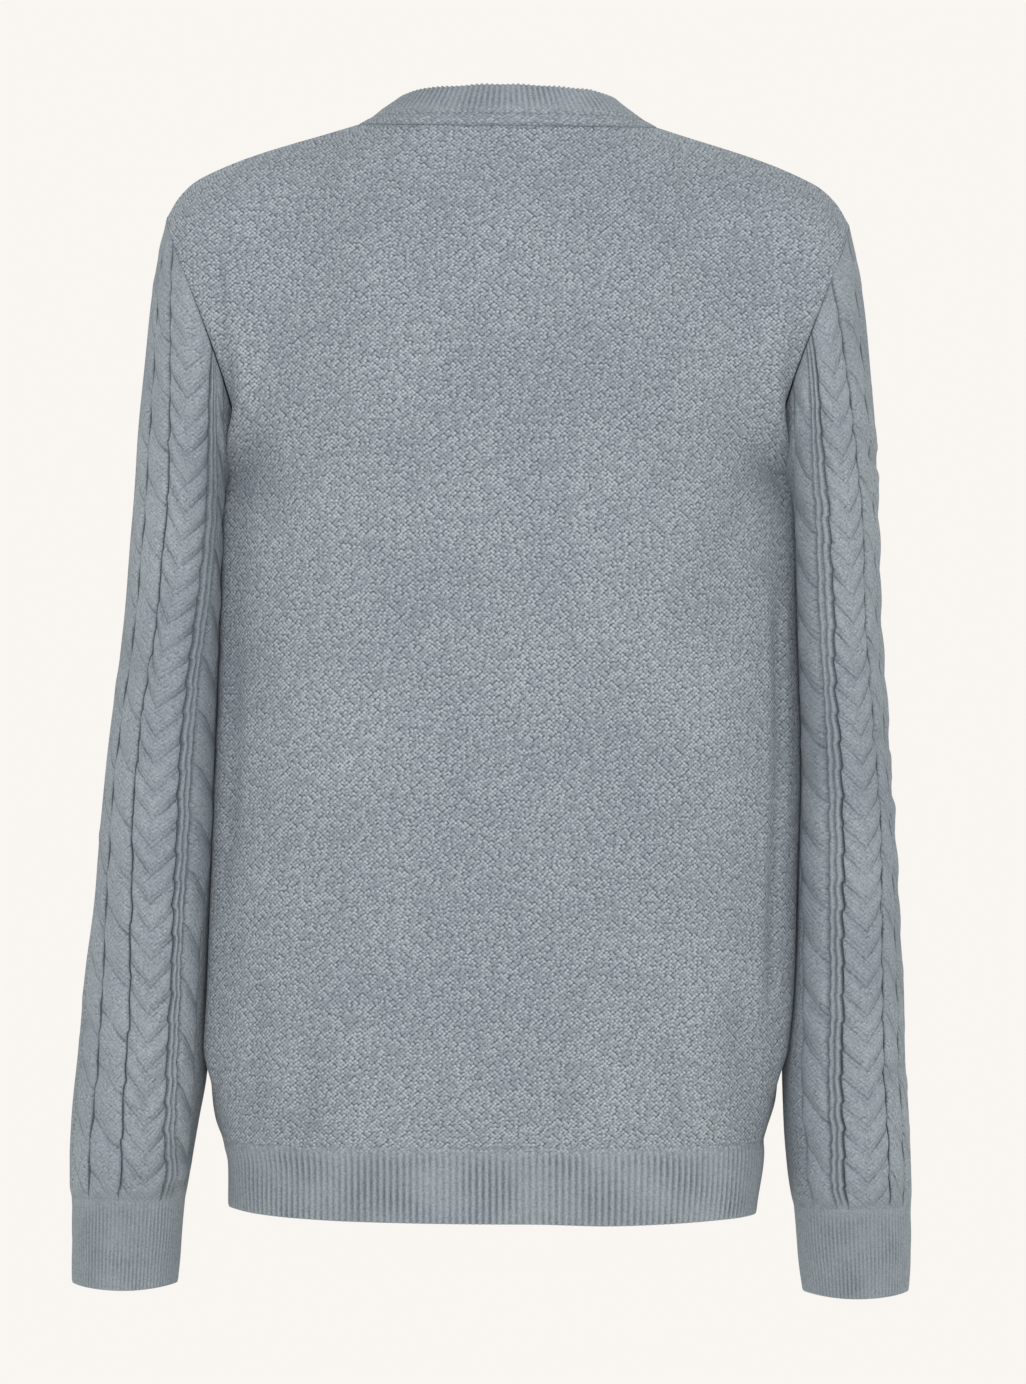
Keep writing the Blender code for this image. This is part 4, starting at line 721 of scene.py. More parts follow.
def creased(points, creases, facing):
    """Height in mm of listed soft creases: (x1, z1, x2, z2, half width, depth) as seen from facing."""
    total = np.zeros(points.shape[:-1])
    x, z = points[..., 0], points[..., 2]
    seen = ease(facing * points[..., 1] / 14.0)
    for x1, z1, x2, z2, wide, depth in creases:
        along_x, along_z = x2 - x1, z2 - z1
        length = np.hypot(along_x, along_z)
        t = ((x - x1) * along_x + (z - z1) * along_z) / length ** 2
        d = ((x - x1) * along_z - (z - z1) * along_x) / length
        fade = ease((t + 0.25) / 0.4) * ease((1.25 - t) / 0.4)
        # a trough with a lower bank on each side
        total += seen * fade * depth * (0.6 * hill(np.abs(d) - 2.0 * wide, wide) - hill(d, wide))
    return total


print("each piece is a wall of", THICK, "mm under its relief")

# %% [markdown]
# ## Wool
#
# The yarn is a dull blue-grey wool blend. Wool scatters light in its fibres: it is rough (0.9 and
# more), has a soft sheen at grazing angles and almost no gloss. What the eye reads as knit is the
# pattern of stitches: moss stitch is a chequerboard of bumps and pits (one stitch is 1.4 mm wide,
# one row 1.25 mm high), the cables show rows of stitches along their strands.


# %% Colour and node helpers
def linear(hex_colour):
    """sRGB hex to linear RGBA."""
    rgb = np.array([int(hex_colour[k:k + 2], 16) for k in (1, 3, 5)]) / 255.0
    return (*np.where(rgb <= 0.04045, rgb / 12.92, ((rgb + 0.055) / 1.055) ** 2.4), 1.0)


def node(tree, kind, links=None, out=0, **settings):
    """Adds a shader node, sets its properties, links or sets its inputs, and returns one output."""
    made = tree.nodes.new("ShaderNode" + kind)
    for key, value in settings.items():
        setattr(made, key, value)
    for key, value in (links or {}).items():
        if isinstance(value, bpy.types.NodeSocket):
            tree.links.new(value, made.inputs[key])
        else:
            made.inputs[key].default_value = value
    return made.outputs[out]


def new_material(name):
    """An empty material with its node tree and its main shader."""
    made = bpy.data.materials.new(name)
    made.use_nodes = True
    return made, made.node_tree, made.node_tree.nodes["Principled BSDF"]


print("the dull blue-grey of the wool is", np.round(linear("#9199A2")[:3], 3), "in linear light")

# %% Knitted height
# In a Map Range node the inputs are 0 the value, 1 and 2 its range, 3 and 4 what they become.
# In a Mix node they are 0 the factor, 2 and 3 the two numbers or 6 and 7 the two colours.
STEP = {"interpolation_type": "SMOOTHSTEP"}
COLOUR = {"data_type": "RGBA", "out": 2}


def knitted(tree, fact, fibre, patch):
    """How high the yarn stands, about 0 to 1; also the distance to each moss crown and its chance."""
    # moss stitch: crowns in a brick pattern, small pits where they meet
    place = node(tree, "CombineXYZ", {0: fact["weave_a"], 1: fact["weave_b"]})
    cells = {"Vector": place, "Scale": 1.0, "Randomness": 0.42}
    to_crown = node(tree, "TexVoronoi", cells, voronoi_dimensions="2D")
    chance = node(tree, "SeparateColor", {0: to_crown.node.outputs["Color"]})
    crown = node(tree, "MapRange", {0: to_crown, 1: 0.42, 2: 0.72, 3: 0.85, 4: 0.0}, **STEP)
    crown = node(tree, "Math", {0: fibre, 1: 0.35, 2: crown}, operation="MULTIPLY_ADD")
    # strands: columns of slanted stitches, plain to see in some patches and felted in others
    ridge = node(tree, "Math", {0: fact["hatch"], 1: 0.5}, operation="PINGPONG")
    show = node(tree, "MapRange", {0: patch, 1: 0.38, 2: 0.66, 3: 0.25, 4: 1.0}, **STEP)
    column = node(tree, "Mix", {0: show, 2: 0.38, 3: ridge})
    slant = node(tree, "Math", {0: ridge, 1: 11.3, 2: fact["legs"]}, operation="MULTIPLY_ADD")
    leg = node(tree, "Math", {0: slant}, operation="SINE")
    stitched = node(tree, "Math", {0: leg, 1: 0.14, 2: column}, operation="MULTIPLY_ADD")
    stitched = node(tree, "Math", {0: fibre, 1: 0.6, 2: stitched}, operation="MULTIPLY_ADD")
    return node(tree, "Mix", {0: fact["moss"], 2: stitched, 3: crown}), to_crown, chance


# %% Wool material
# the darkest colour is painted shade in pits, furrows and crossing lines, and also the colour of dark fibre
# specks
WOOL_SHADE_AND_SPECK, WOOL_PIT, WOOL_GLINT = linear("#465059"), linear("#6A757E"), linear("#D3DAE0")
STITCH_W, STITCH_H = 1.4, 1.25


def wool(name, light, mid, pit_shade_strength):
    """Knitted wool in two near colours; the third argument is how dark the painted shade in the pits
    between its stitches is.
    """
    made, tree, shader = new_material(name)
    keys = ("weave_a", "weave_b", "legs", "moss", "painted_shade", "hatch", "phase", "pitch", "line")
    fact = {key: node(tree, "Attribute", out="Fac", attribute_name=key) for key in keys}
    where = node(tree, "TexCoord", out="Object")
    # heather: slow drift of the yarn's colour over 70 mm, felted patches of 12 mm, fibres of 1 mm
    drift = node(tree, "TexNoise", {"Vector": where, "Scale": 14.0, "Detail": 2.0})
    patch = node(tree, "TexNoise", {"Vector": where, "Scale": 85.0, "Detail": 1.0})
    fibre = node(tree, "TexNoise", {"Vector": where, "Scale": 950.0, "Detail": 3.0})
    height, to_crown, chance = knitted(tree, fact, fibre, patch)
    drift = node(tree, "MapRange", {0: drift, 1: 0.3, 2: 0.7}, **STEP)
    colour = node(tree, "Mix", {0: drift, 6: linear(mid), 7: linear(light)}, **COLOUR)
    # painted shade: dark in the pits, half as much on the smooth strands
    pit_shade = node(tree, "MapRange", {0: height, 1: 0.15, 2: 0.8, 3: pit_shade_strength, 4: 0.0}, **STEP)
    share = node(tree, "Math", {0: fact["moss"], 1: 0.5, 2: 0.5}, operation="MULTIPLY_ADD")
    pit_shade = node(tree, "Math", {0: pit_shade, 1: share}, operation="MULTIPLY")
    colour = node(tree, "Mix", {0: pit_shade, 6: colour, 7: WOOL_SHADE_AND_SPECK}, **COLOUR)
    # each moss crown a little darker or with a glint on it
    odd = node(tree, "Math", {0: chance, 1: 0.5}, operation="MULTIPLY")
    odd = node(tree, "Math", {0: odd, 1: fact["moss"]}, operation="MULTIPLY")
    colour = node(tree, "Mix", {0: odd, 6: colour, 7: WOOL_PIT}, **COLOUR)
    glint = node(tree, "MapRange", {0: to_crown, 1: 0.05, 2: 0.3, 3: 0.42, 4: 0.0}, **STEP)
    lucky = node(tree, "Math", {0: chance, 1: 0.42}, operation="LESS_THAN")
    glint = node(tree, "Math", {0: glint, 1: lucky}, operation="MULTIPLY")
    glint = node(tree, "Math", {0: glint, 1: fact["moss"]}, operation="MULTIPLY")
    colour = node(tree, "Mix", {0: glint, 6: colour, 7: WOOL_GLINT}, **COLOUR)
    speck = node(tree, "MapRange", {0: fibre, 1: 0.36, 2: 0.56, 3: 0.3, 4: 0.0})
    colour = node(tree, "Mix", {0: speck, 6: colour, 7: WOOL_SHADE_AND_SPECK}, **COLOUR)
    # painted shade: the dark line where one strand goes under the next, about 1 mm wide
    far = node(tree, "Math", {0: fact["phase"], 1: 0.5}, operation="PINGPONG")
    far = node(tree, "Math", {0: far, 1: fact["pitch"]}, operation="MULTIPLY")
    ragged = node(tree, "Math", {0: fibre, 1: 1.4, 2: far}, operation="MULTIPLY_ADD")
    near = node(tree, "MapRange", {0: ragged, 1: 0.6, 2: 2.0, 3: 0.85, 4: 0.0}, **STEP)
    line = node(tree, "Math", {0: near, 1: fact["line"]}, operation="MULTIPLY")
    # painted shade in the furrows, ragged along them, then the darker of it and the line
    ragged_shade = node(tree, "MapRange", {0: fibre, 1: 0.3, 2: 0.6, 3: 0.95, 4: 0.6})
    total_painted_shade = node(tree, "Math", {0: fact["painted_shade"], 1: ragged_shade}, operation="MULTIPLY")
    total_painted_shade = node(tree, "Math", {0: total_painted_shade, 1: line}, operation="MAXIMUM")
    colour = node(tree, "Mix", {0: total_painted_shade, 6: colour, 7: WOOL_SHADE_AND_SPECK}, **COLOUR)
    tree.links.new(colour, shader.inputs["Base Color"])
    # relief: the stitches about 0.7 mm high, the shoulder beside each dark line 2 mm
    slope = node(tree, "MapRange", {0: far, 1: 0.0, 2: 3.8}, **STEP)
    slope = node(tree, "Math", {0: slope, 1: fact["line"]}, operation="MULTIPLY")
    relief = node(tree, "Math", {0: height, 1: 0.6}, operation="MULTIPLY")
    relief = node(tree, "Math", {0: slope, 1: 1.7, 2: relief}, operation="MULTIPLY_ADD")
    bump = node(tree, "Bump", {"Height": relief, "Strength": 1.0, "Distance": 0.0012})
    tree.links.new(bump, shader.inputs["Normal"])
    shader.inputs["Roughness"].default_value = 0.95
    shader.inputs["Specular IOR Level"].default_value = 0.2
    shader.inputs["Sheen Weight"].default_value = 0.12
    shader.inputs["Sheen Roughness"].default_value = 0.6
    shader.inputs["Sheen Tint"].default_value = linear("#C9D2DA")
    return made


MOSS_WOOL = wool("moss_stitch_wool", "#9BA4AC", "#9199A2", 1.0)
CABLE_WOOL = wool("cable_wool", "#969FA7", "#8A939C", 0.9)
RIB_WOOL = wool("rib_wool", "#969FA7", "#8B949C", 0.5)
print("wool materials made")

# %% [markdown]
# ## Back and fronts
#
# The panels are moss stitch all over. Its rows run level, whatever way the cloth is shaped, so
# rows are counted up the middle and stitches from the middle out at each height. The outside also
# has soft creases, listed one by one, and swells a little where it rests on the sleeves.

# %% Panels
BACK_CREASES = (
    (-168.0, -92.0, -166.0, -170.0, 4.5, 1.6), (170.0, -100.0, 167.0, -172.0, 4.0, 1.1),
    (-150.0, -190.0, -128.0, -252.0, 9.0, 0.9), (150.0, -196.0, 122.0, -262.0, 10.0, 0.8),
    (-146.0, -520.0, -150.0, -590.0, 8.0, 1.0), (-112.0, -548.0, -118.0, -600.0, 9.0, 0.7),
    (132.0, -512.0, 140.0, -585.0, 9.0, 1.0), (92.0, -545.0, 100.0, -600.0, 9.0, 0.7),
    (160.0, -290.0, 160.5, -372.0, 3.0, 1.4), (160.5, -384.0, 158.0, -436.0, 3.0, 1.3),
    (157.5, -446.0, 155.0, -520.0, 3.2, 1.4), (-161.0, -330.0, -164.0, -430.0, 3.5, 0.9),
    (-40.0, -556.0, -44.0, -603.0, 10.0, 0.5), (34.0, -552.0, 38.0, -603.0, 11.0, 0.5),
    (-70.0, -22.0, -96.0, -70.0, 8.0, 0.6), (72.0, -24.0, 98.0, -74.0, 8.0, 0.6))
FRONT_CREASES = (
    (-150.0, -180.0, -112.0, -236.0, 8.0, 1.2), (-154.0, -210.0, -124.0, -292.0, 10.0, 0.9),
    (-112.0, -60.0, -86.0, -112.0, 9.0, 0.7), (-138.0, -520.0, -144.0, -590.0, 8.0, 1.0),
    (-92.0, -540.0, -98.0, -600.0, 9.0, 0.8), (-48.0, -552.0, -52.0, -603.0, 10.0, 0.6))
# where the body swells out beside the sleeves: height, how far, distance from the seam, half width
SWELL = np.array([
    (-600.0, 0.0, 27.0, 13.0), (-585.0, 0.0, 27.0, 13.0), (-550.0, 6.8, 27.0, 13.0),
    (-270.0, 6.6, 27.0, 13.0), (-240.0, 8.0, 26.0, 13.0), (-205.0, 12.0, 17.0, 11.0),
    (-175.0, 6.0, 16.0, 11.0), (-150.0, 0.0, 16.0, 11.0)])


def stitch_places(grid, middle):
    """Stitches across (from a middle column) and rows up of each point, the rows level."""
    z = grid[..., 2]
    levels = np.linspace(z.min(), z.max(), 260)
    level_points = np.array([[np.interp(levels, col[:, 2], col[:, k]) for k in range(3)] for col in grid])
    way_on = np.diff(level_points[:, :2], axis=0)
    # where the cloth turns away to the sides it is pulled, so its stitches are wider there
    steps = 0.55 * np.linalg.norm(way_on, axis=1) + 0.45 * np.abs(way_on[:, 0])
    way = np.concatenate([np.zeros((1, len(levels))), np.cumsum(steps, axis=0)])
    way = way - way[middle]
    across = np.array([np.interp(z[i], levels, way[i]) for i in range(len(grid))])
    mid = grid[middle]
    rows = np.interp(z, mid[:, 2], run_of(mid)) + 1.1 * np.maximum(z - mid[-1, 2], 0.0)
    return across / STITCH_W, rows / STITCH_H


def seam_shows(z):
    """How plainly the armhole seam is seen: hardly at the shoulder, plainly lower down."""
    return 0.25 + 0.75 * ease((-84.0 - z) / 22.0)


def swell(points):
    """The body's sides rest on the sleeves and are pushed out beside them."""
    x, y, z = points[..., 0], points[..., 1], points[..., 2]
    amount, away, wide = np.moveaxis(smooth(SWELL, z.reshape(-1)).reshape(*z.shape, 3), -1, 0)
    edge = armhole(1, 1, np.linspace(0.0, 0.6, 60))
    from_seam = np.abs(y) - np.interp(z, edge[:, 2], edge[:, 1], left=0.0)
    push = hill(from_seam - away, wide) * ease(from_seam / 8.0)
    moved = points.copy()
    moved[..., 0] += np.sign(x) * amount * push * ease((np.abs(x) - 118.0) / 20.0)
    return moved


RELAX_ROUNDS = 60
BODY_MIDDLE = (0.0, 0.0, -330.0)


def panel(name, facing, mirror, columns, low_rows, high_rows, creases):
    """A back or front; mirror makes the wearer's right front, which climbs on to the upper band."""
    grid, in_neck = panel_base(facing, mirror, columns, low_rows, high_rows)
    bare = swell(relax(grid, RELAX_ROUNDS))
    n = normals_of(bare, False, bare - BODY_MIDDLE)
    if mirror:
        climb = ease((BAND_HALF + LAP_RUN + bare[..., :1]) / LAP_RUN)
        bare = bare + n * LAP * climb
    across, rows = stitch_places(bare, len(bare) // 2 if facing < 0 else len(bare) - 1)
    way = np.array([run_of(bare[:, k]) for k in range(bare.shape[1])]).T
    up = np.array([run_of(column) for column in bare])
    to_side, to_top = np.minimum(way, way[-1:] - way), up[:, -1:] - up
    near = np.minimum(to_side, to_top)
    folds = creased(bare, creases, facing)
    soft = wobble(way, up, 5 if facing < 0 else 8, 120.0) * 0.35 + folds
    tight = seam_shows(bare[..., 2])
    rise = -0.5 * tight * (1.0 - ease(near / 2.0)) + soft * ease(near / 12.0) * ease(up / 12.0)
    at_neck = in_neck[:, None] * hill(to_top, 1.6)
    # the moss stitch, its relief, painted pit shade and glints, is a little weaker where the cloth turns to
    # the sides
    seen = 0.85 + 0.15 * ease(np.abs(n[..., 1]) / 0.75)
    # painted shade along the armhole seam, at the neck seam and in the creases
    painted_shade = 0.3 * tight * hill(near, 1.2) + 0.3 * at_neck + 0.16 * np.clip(-folds, 0.0, 1.6)
    facts = {"across": across, "rows": rows, "moss": seen, "painted_shade": painted_shade, "hatch": across}
    knit(name, bare, n, rise, False, (5, 5), facts, MOSS_WOOL, mirror)


panel("back", -1, False, 240, 190, 124, BACK_CREASES)
panel("front_left", 1, False, 110, 150, 90, FRONT_CREASES)
panel("front_right", 1, True, 110, 150, 90, FRONT_CREASES)

# %% [markdown]
# ## Sleeves
#
# Points stand closer together at the furrows between the cables, because those thin dark lines
# are what the eye follows first.

# %% Sleeves
LEFT_CREASES = ((-184.0, -628.0, -206.0, -640.0, 4.0, 1.6), (-262.0, -428.0, -246.0, -436.0, 5.0, 1.2),
                (-268.0, -528.0, -250.0, -540.0, 6.0, 1.3), (-212.0, -330.0, -232.0, -318.0, 8.0, 0.8),
                (-206.0, -560.0, -222.0, -590.0, 6.0, 0.9))
RIGHT_CREASES = ((214.0, -198.0, 224.0, -208.0, 3.5, 1.4), (216.0, -362.0, 228.0, -374.0, 4.5, 1.2),
                 (222.0, -398.0, 236.0, -404.0, 4.0, 1.0), (180.0, -526.0, 190.0, -534.0, 3.5, 1.2),
                 (236.0, -560.0, 222.0, -572.0, 6.0, 0.9))
COLUMN_STEP = 1.6             # mm between columns away from the furrows
SLEEVE_ROWS, CAP_ROWS = 224, 84


def cable_places():
    """Pattern places of the sleeve's columns: one on each furrow, and closer together beside it."""
    fine = np.linspace(0.0, SLEEVE_HALF, 3000)
    density = 1.0 / COLUMN_STEP + sum(0.95 * hill(fine - at, 1.3) for at, _ in GROOVES)
    density = density * np.where(fine > PLAIN + 4.0, 0.5, 1.0)
    total = np.concatenate([[0.0], np.cumsum((density[1:] + density[:-1]) / 2 * np.diff(fine))])
    even = np.interp(np.linspace(0.0, total[-1], int(total[-1]) + 1), total, fine)
    fixed = np.array([at for at, _ in GROOVES] + [V_MIDDLE])
    free = even[np.min(np.abs(even[:, None] - fixed[None, :]), axis=1) > 0.3]
    return np.sort(np.concatenate([free, fixed]))


def sleeve(name, side, creases):
    """A sleeve from its cuff up to the armhole, its back half and its front half in one ring."""
    table = sleeve_table(side)
    k = cable_places()
    z_low = np.linspace(table[-1, 0] + SEAM_GAP, table[0, 0], SLEEVE_ROWS)
    v = np.linspace(0.0, 1.0, CAP_ROWS)[1:]
    back, front = (np.concatenate([tube(side, f, k, z_low), cap(side, f, k, v)], axis=1) for f in (-1, 1))
    bare = np.concatenate([back, front[-2:0:-1]])
    around = np.concatenate([k, k[-2:0:-1]])[:, None] + 0 * bare[..., 0]
    outer_x, inner_x, _ = smooth(table, bare[..., 2].reshape(-1)).T
    centre_x = side * (inner_x + outer_x).reshape(bare.shape[:2]) / 2
    n = normals_of(bare, True, bare - np.stack([centre_x, 0 * centre_x, bare[..., 2]], axis=-1))
    facts = cable_relief(side, around, bare[..., 2])
    to_low = np.array([run_of(column) for column in bare])
    to_top = to_low[:, -1:] - to_low
    at_cuff = ease(to_low / 9.0)
    fade = at_cuff * (0.15 + 0.85 * ease(to_top / 22.0))
    folds = creased(bare, creases, -1) + creased(bare, creases, 1) * 0.7
    soft = folds + wobble(around, to_low, 11, 70.0) * 0.3
    inside_edges = ease(to_low / 15.0) * ease(to_top / 15.0)
    rise = facts.pop("height") * fade + 0.8 * (1.0 - at_cuff) + soft * inside_edges
    tight = seam_shows(bare[..., 2])
    rise = rise - 0.5 * tight * (1.0 - ease(to_top / 1.8))
    facts["line"] = facts["line"] * at_cuff * (0.1 + 0.9 * ease((to_top - 6.0) / 42.0))
    facts["moss"] = facts["moss"] * at_cuff
    # painted shade in the creases and along the armhole seam, over that of the furrows
    facts["painted_shade"] = np.maximum(facts["painted_shade"] * at_cuff + 0.2 * np.clip(-folds, 0.0, 1.6),
                               0.55 * tight * hill(to_top, 1.3))
    facts["across"], facts["rows"] = around / STITCH_W + 0.5, bare[..., 2] / STITCH_H
    knit(name, bare, n, rise, True, (5, 5), facts, CABLE_WOOL)


sleeve("sleeve_left", -1, LEFT_CREASES)
sleeve("sleeve_right", 1, RIGHT_CREASES)

# %% [markdown]
# ## Ribs
#
# Cuffs, hem and neckband are 1x1 rib: narrow ridges with a furrow between them. Cuffs and hem are
# knitted on, so their ribs start softly under the moss stitch, without a seam line.

# %% Ribs
PER_RIB = 6                   # columns of points to one rib
RIB_ROUND = 0.8               # below 1 it makes the ridges broad and the furrows narrow
FURROW_SHARP = 1.6            # above 1 it keeps the painted shade to the bottom of a furrow


def ribbed(name, bare, n, ring, phase, start, free, rise, dark, lift=0.0, above=0.9, extra_shade=0.0):
    """A ribbed piece; phase counts ribs, start and free are the distances to its two edges.

    Where it starts it stands out by lift and shows the moss stitch by the share above; the last argument
    adds painted shade at places of its own, and dark sets how strong the painted shade in its furrows is.
    """
    wave = (0.5 + 0.5 * np.cos(2 * np.pi * phase)) ** RIB_ROUND
    rows = np.array([run_of(col) for col in bare])
    uneven = 0.8 + 0.32 * np.clip(wobble(phase * 2.0, rows, 17, 24.0), -1.0, 1.0)
    grown = ease((start + 1.0) / 9.0)
    height = rise * wave * grown * uneven + lift * (1.0 - grown) - 0.3 * (1.0 - ease(free / 1.2))
    across = run_of(bare[:, -1])[:, None] / STITCH_W + 0 * rows
    facts = {"across": across, "rows": rows / STITCH_H, "moss": above * (1.0 - ease(start / 8.0)),
             # painted shade in the furrows between the ribs, or the extra painted shade where that is
             # darker
             "painted_shade": np.maximum(dark * uneven * (1.0 - wave) ** FURROW_SHARP * grown, extra_shade),
             "hatch": phase + 0.5 + 0 * wave}
    knit(name, bare, n, height, ring, (PER_RIB, 4), facts, RIB_WOOL)


def cuff(name, side):
    """A cuff from its free edge up to the sleeve."""
    table = CUFF_LEFT if side < 0 else CUFF_RIGHT
    top = sleeve_table(side)[-1, 0]
    drops = np.linspace(CUFF_DEEP, SEAM_GAP, 30)
    outer, inner, half = smooth(table, drops).T
    share = np.arange(CUFF_RIBS * PER_RIB)[:, None] / (CUFF_RIBS * PER_RIB)
    a = 2.0 * np.pi * share
    x = (outer + inner) / 2 + (outer - inner) / 2 * np.cos(a)
    z = top + CUFF_LIFT * np.cos(a) ** 2 * drops / CUFF_DEEP - drops
    bare = np.stack([side * x, half * np.sin(a), z], axis=-1)
    centre = np.stack([side * np.broadcast_to((outer + inner) / 2, x.shape), 0 * x, z], axis=-1)
    n = normals_of(bare, True, bare - centre)
    phase = share * CUFF_RIBS + 0 * x
    ribbed(name, bare, n, True, phase, drops + 0 * x, CUFF_DEEP - drops + 0 * x,
           rise=0.9, dark=0.4, lift=0.8, above=0.0)


cuff("cuff_left", -1)
cuff("cuff_right", 1)


# %% Hem band
HEM_RIB_PITCH, NECK_RIB_PITCH = 3.9, 3.6


def hem_line(z):
    """The whole hem section from the right band round the back to the left band."""
    behind = section(z, -1, np.linspace(0.0, 1.0, 481))[::-1]
    front_left = section(z, 1, np.linspace(0.0, band_share(z), 200))
    whole = section(z, 1, np.linspace(1.0, 0.5, 600))
    start = float(np.interp(-BAND_HALF - SEAM, -whole[:, 0], np.linspace(1.0, 0.5, 600)))
    front_right = section(z, 1, np.linspace(start, 1.0, 200))
    return np.concatenate([front_right, behind[1:], front_left[1:]])


def hem_lift(x, z):
    """How far a point of the hem is drawn up: all of it at the free edge, nothing at the seam."""
    lift = smooth(HEM_LIFT, x.reshape(-1))[:, 0].reshape(x.shape)
    return lift * (HEM_SEAM_Z - z) / (HEM_SEAM_Z - HEM_Z)


def lap_out(x, y):
    """How far the right front is carried out over the left one."""
    climb = ease((BAND_HALF + LAP_RUN - x) / LAP_RUN)
    return np.where((x > 0) & (y > 0), LAP * climb, 0.0)


def turn_of(line, z):
    """How far round the garment each point of a line lies; the same turn is straight above."""
    left, right, _, _ = smooth(BODY, HEM_Z)[0]
    _, _, behind, ahead = smooth(BODY, z)[0]
    depth = np.where(line[:, 1] < 0, behind, ahead)
    across = (line[:, 0] - (left + right) / 2) / ((right - left) / 2)
    return -np.unwrap(np.arctan2(line[:, 1] / depth, across))


HEM_MIDDLE = (-8.0, 0.0, 0.0)


def hem():
    """The hem band, one piece from front edge round the back to front edge."""
    heights = np.linspace(HEM_Z, HEM_SEAM_Z - SEAM_GAP, 24)
    ribs = int(round(run_of(hem_line(HEM_Z))[-1] / HEM_RIB_PITCH))
    turns = turn_of(along(hem_line(HEM_Z), np.linspace(0.0, 1.0, ribs * PER_RIB + 1)), HEM_Z)
    shares = np.linspace(0.0, 1.0, len(turns))
    bare = []
    for z in heights:
        line = hem_line(z)
        at = np.interp(turns, turn_of(line, z), run_of(line) / run_of(line)[-1])
        at[0], at[-1] = 0.0, 1.0
        bare.append(along(line, at))
    bare = np.array(bare).transpose(1, 0, 2)
    n = normals_of(bare, False, (bare - HEM_MIDDLE) * (1.0, 1.0, 0.0))
    bare = bare + n * lap_out(bare[..., 0], bare[..., 1])[..., None]
    level = bare[..., 2].copy()
    bare[..., 2] = level + hem_lift(bare[..., 0], level)
    phase = shares[:, None] * ribs + 0 * level
    ribbed("hem_band", bare, n, False, phase, HEM_SEAM_Z - level, level - HEM_Z,
           rise=1.3, dark=0.8)


hem()


# %% Neckband
def soften(line, reach=30):
    """A line of vectors with its bends spread over some points to each side."""
    kernel = np.hanning(2 * reach + 1)
    padded = np.concatenate([np.repeat(line[:1], reach, axis=0), line, np.repeat(line[-1:], reach, axis=0)])
    return np.stack([np.convolve(padded[:, k], kernel / kernel.sum(), "valid") for k in range(3)], axis=1)


def round_neck(curve):
    """A curve of the neck from the left band round the back to the right band."""
    front = np.linspace(BAND_ANGLE, 0.0, 60)
    behind = np.linspace(0.0, np.pi, 120)
    return np.concatenate([curve(front, 1), curve(behind, -1)[1:], curve(np.pi - front[::-1], 1)[1:]])


def neckband():
    """The neckband; its free edge stands a little higher on both sides of the nape."""
    seams, edges = round_neck(neck_seam), round_neck(collar_edge)
    behind_it = ease(-edges[:, 1] / 20.0)
    edges[:, 2] += behind_it * (1.0 + 1.2 * hill(np.abs(edges[:, 0]) - 50.0, 12.0))
    run = run_of((seams + edges) / 2)
    ribs = int(round(run[-1] / NECK_RIB_PITCH))
    at = run / run[-1]
    shares = np.linspace(0.0, 1.0, ribs * PER_RIB + 1)
    low, top = smooth(np.column_stack([at, seams]), shares), smooth(np.column_stack([at, edges]), shares)
    steps = np.linspace(0.0, 1.0, 34)
    bare = low[:, None] + (top - low)[:, None] * steps[None, :, None]
    out = np.concatenate([bare[..., :2], 0 * bare[..., :1] + 40.0], axis=-1)
    n = normals_of(bare, False, out)
    n = unit(np.stack([soften(n[:, k]) for k in range(n.shape[1])], axis=1))
    bare = bare + n * lap_out(bare[..., 0], bare[..., 1])[..., None]
    phase = shares[:, None] * ribs + 0 * bare[..., 0]
    wide = np.linalg.norm(top - low, axis=1)[:, None]
    up = steps[None, :] * wide
    # the strip beside the seam is plain; a row of small holes where it is linked on, and the seam beside
    # it, are marked with painted shade
    link_row = 0.3 * wide
    holes = 0.75 * hill(up - link_row, 0.8) * bulge(phase)
    seam_shade = 0.75 * hill(up, 1.2)
    inward = 1.0 - 0.8 * ease((np.abs(low[:, :1]) - 62.0) / 22.0)
    swollen = 0.9 * inward * np.sin(np.pi * np.clip(up / link_row, 0.0, 1.0))
    loose = inward * np.clip(wobble(phase * 3.6, 0.0 * phase, 23, 26.0), -1.0, 1.0)
    bumpy = (0.16 + 0.22 * loose) * np.cos(2 * np.pi * phase) + 0.35 * loose
    bare = bare + n * swollen[..., None]
    bare[..., 2] += bumpy * hill(wide - up, 2.0)
    ribbed("neckband", bare, n, False, phase, up - link_row, wide - up,
           rise=1.15, dark=0.6, lift=0.1, extra_shade=np.maximum(holes, seam_shade * inward))


neckband()

# %% [markdown]
# ## Closure
#
# Two straight bands run down the front, the wearer's right one over the left one. The upper one has
# a buttonhole under each button, whipped round with the same yarn.


# %% Front bands
def front_line():
    """The middle of the front from the hem up to the neckband's edge, with outward directions."""
    z = np.linspace(HEM_Z, UNDERARM_Z, 120)
    low = np.stack([0 * z, smooth(BODY, z)[:, 3], z], axis=1)
    low[:, 2] += hem_lift(np.zeros(len(z)), z) * (z < HEM_SEAM_Z)
    at_band = np.array([BAND_ANGLE])
    v = np.linspace(0.0, 1.0, 40)
    high = yoke(1, np.array([band_share(UNDERARM_Z)]), np.ones(1), at_band, neck_seam(at_band, 1), v)[0]
    step = np.linspace(0.0, 1.0, len(v))
    high[:, 1] += (1 - step) * (BODY[0, 4] - high[0, 1]) + step * (NECK_FRONT_DEPTH - high[-1, 1])
    high[:, 0] = 0.0
    edge = np.array([[0.0, COLLAR_FRONT_DEPTH, COLLAR_FRONT_HEIGHT]])
    line = along(np.concatenate([low, high[1:], edge]), np.linspace(0.0, 1.0, 460))
    up = soften(unit(np.gradient(line, axis=0)), 8)
    return line, unit(np.stack([0 * up[:, 0], up[:, 2], -up[:, 1]], axis=1))


HOLE_HALF = 12.0              # half the length of a buttonhole
LOWER_BAND_RISE, UPPER_BAND_RISE = 0.25, 1.0


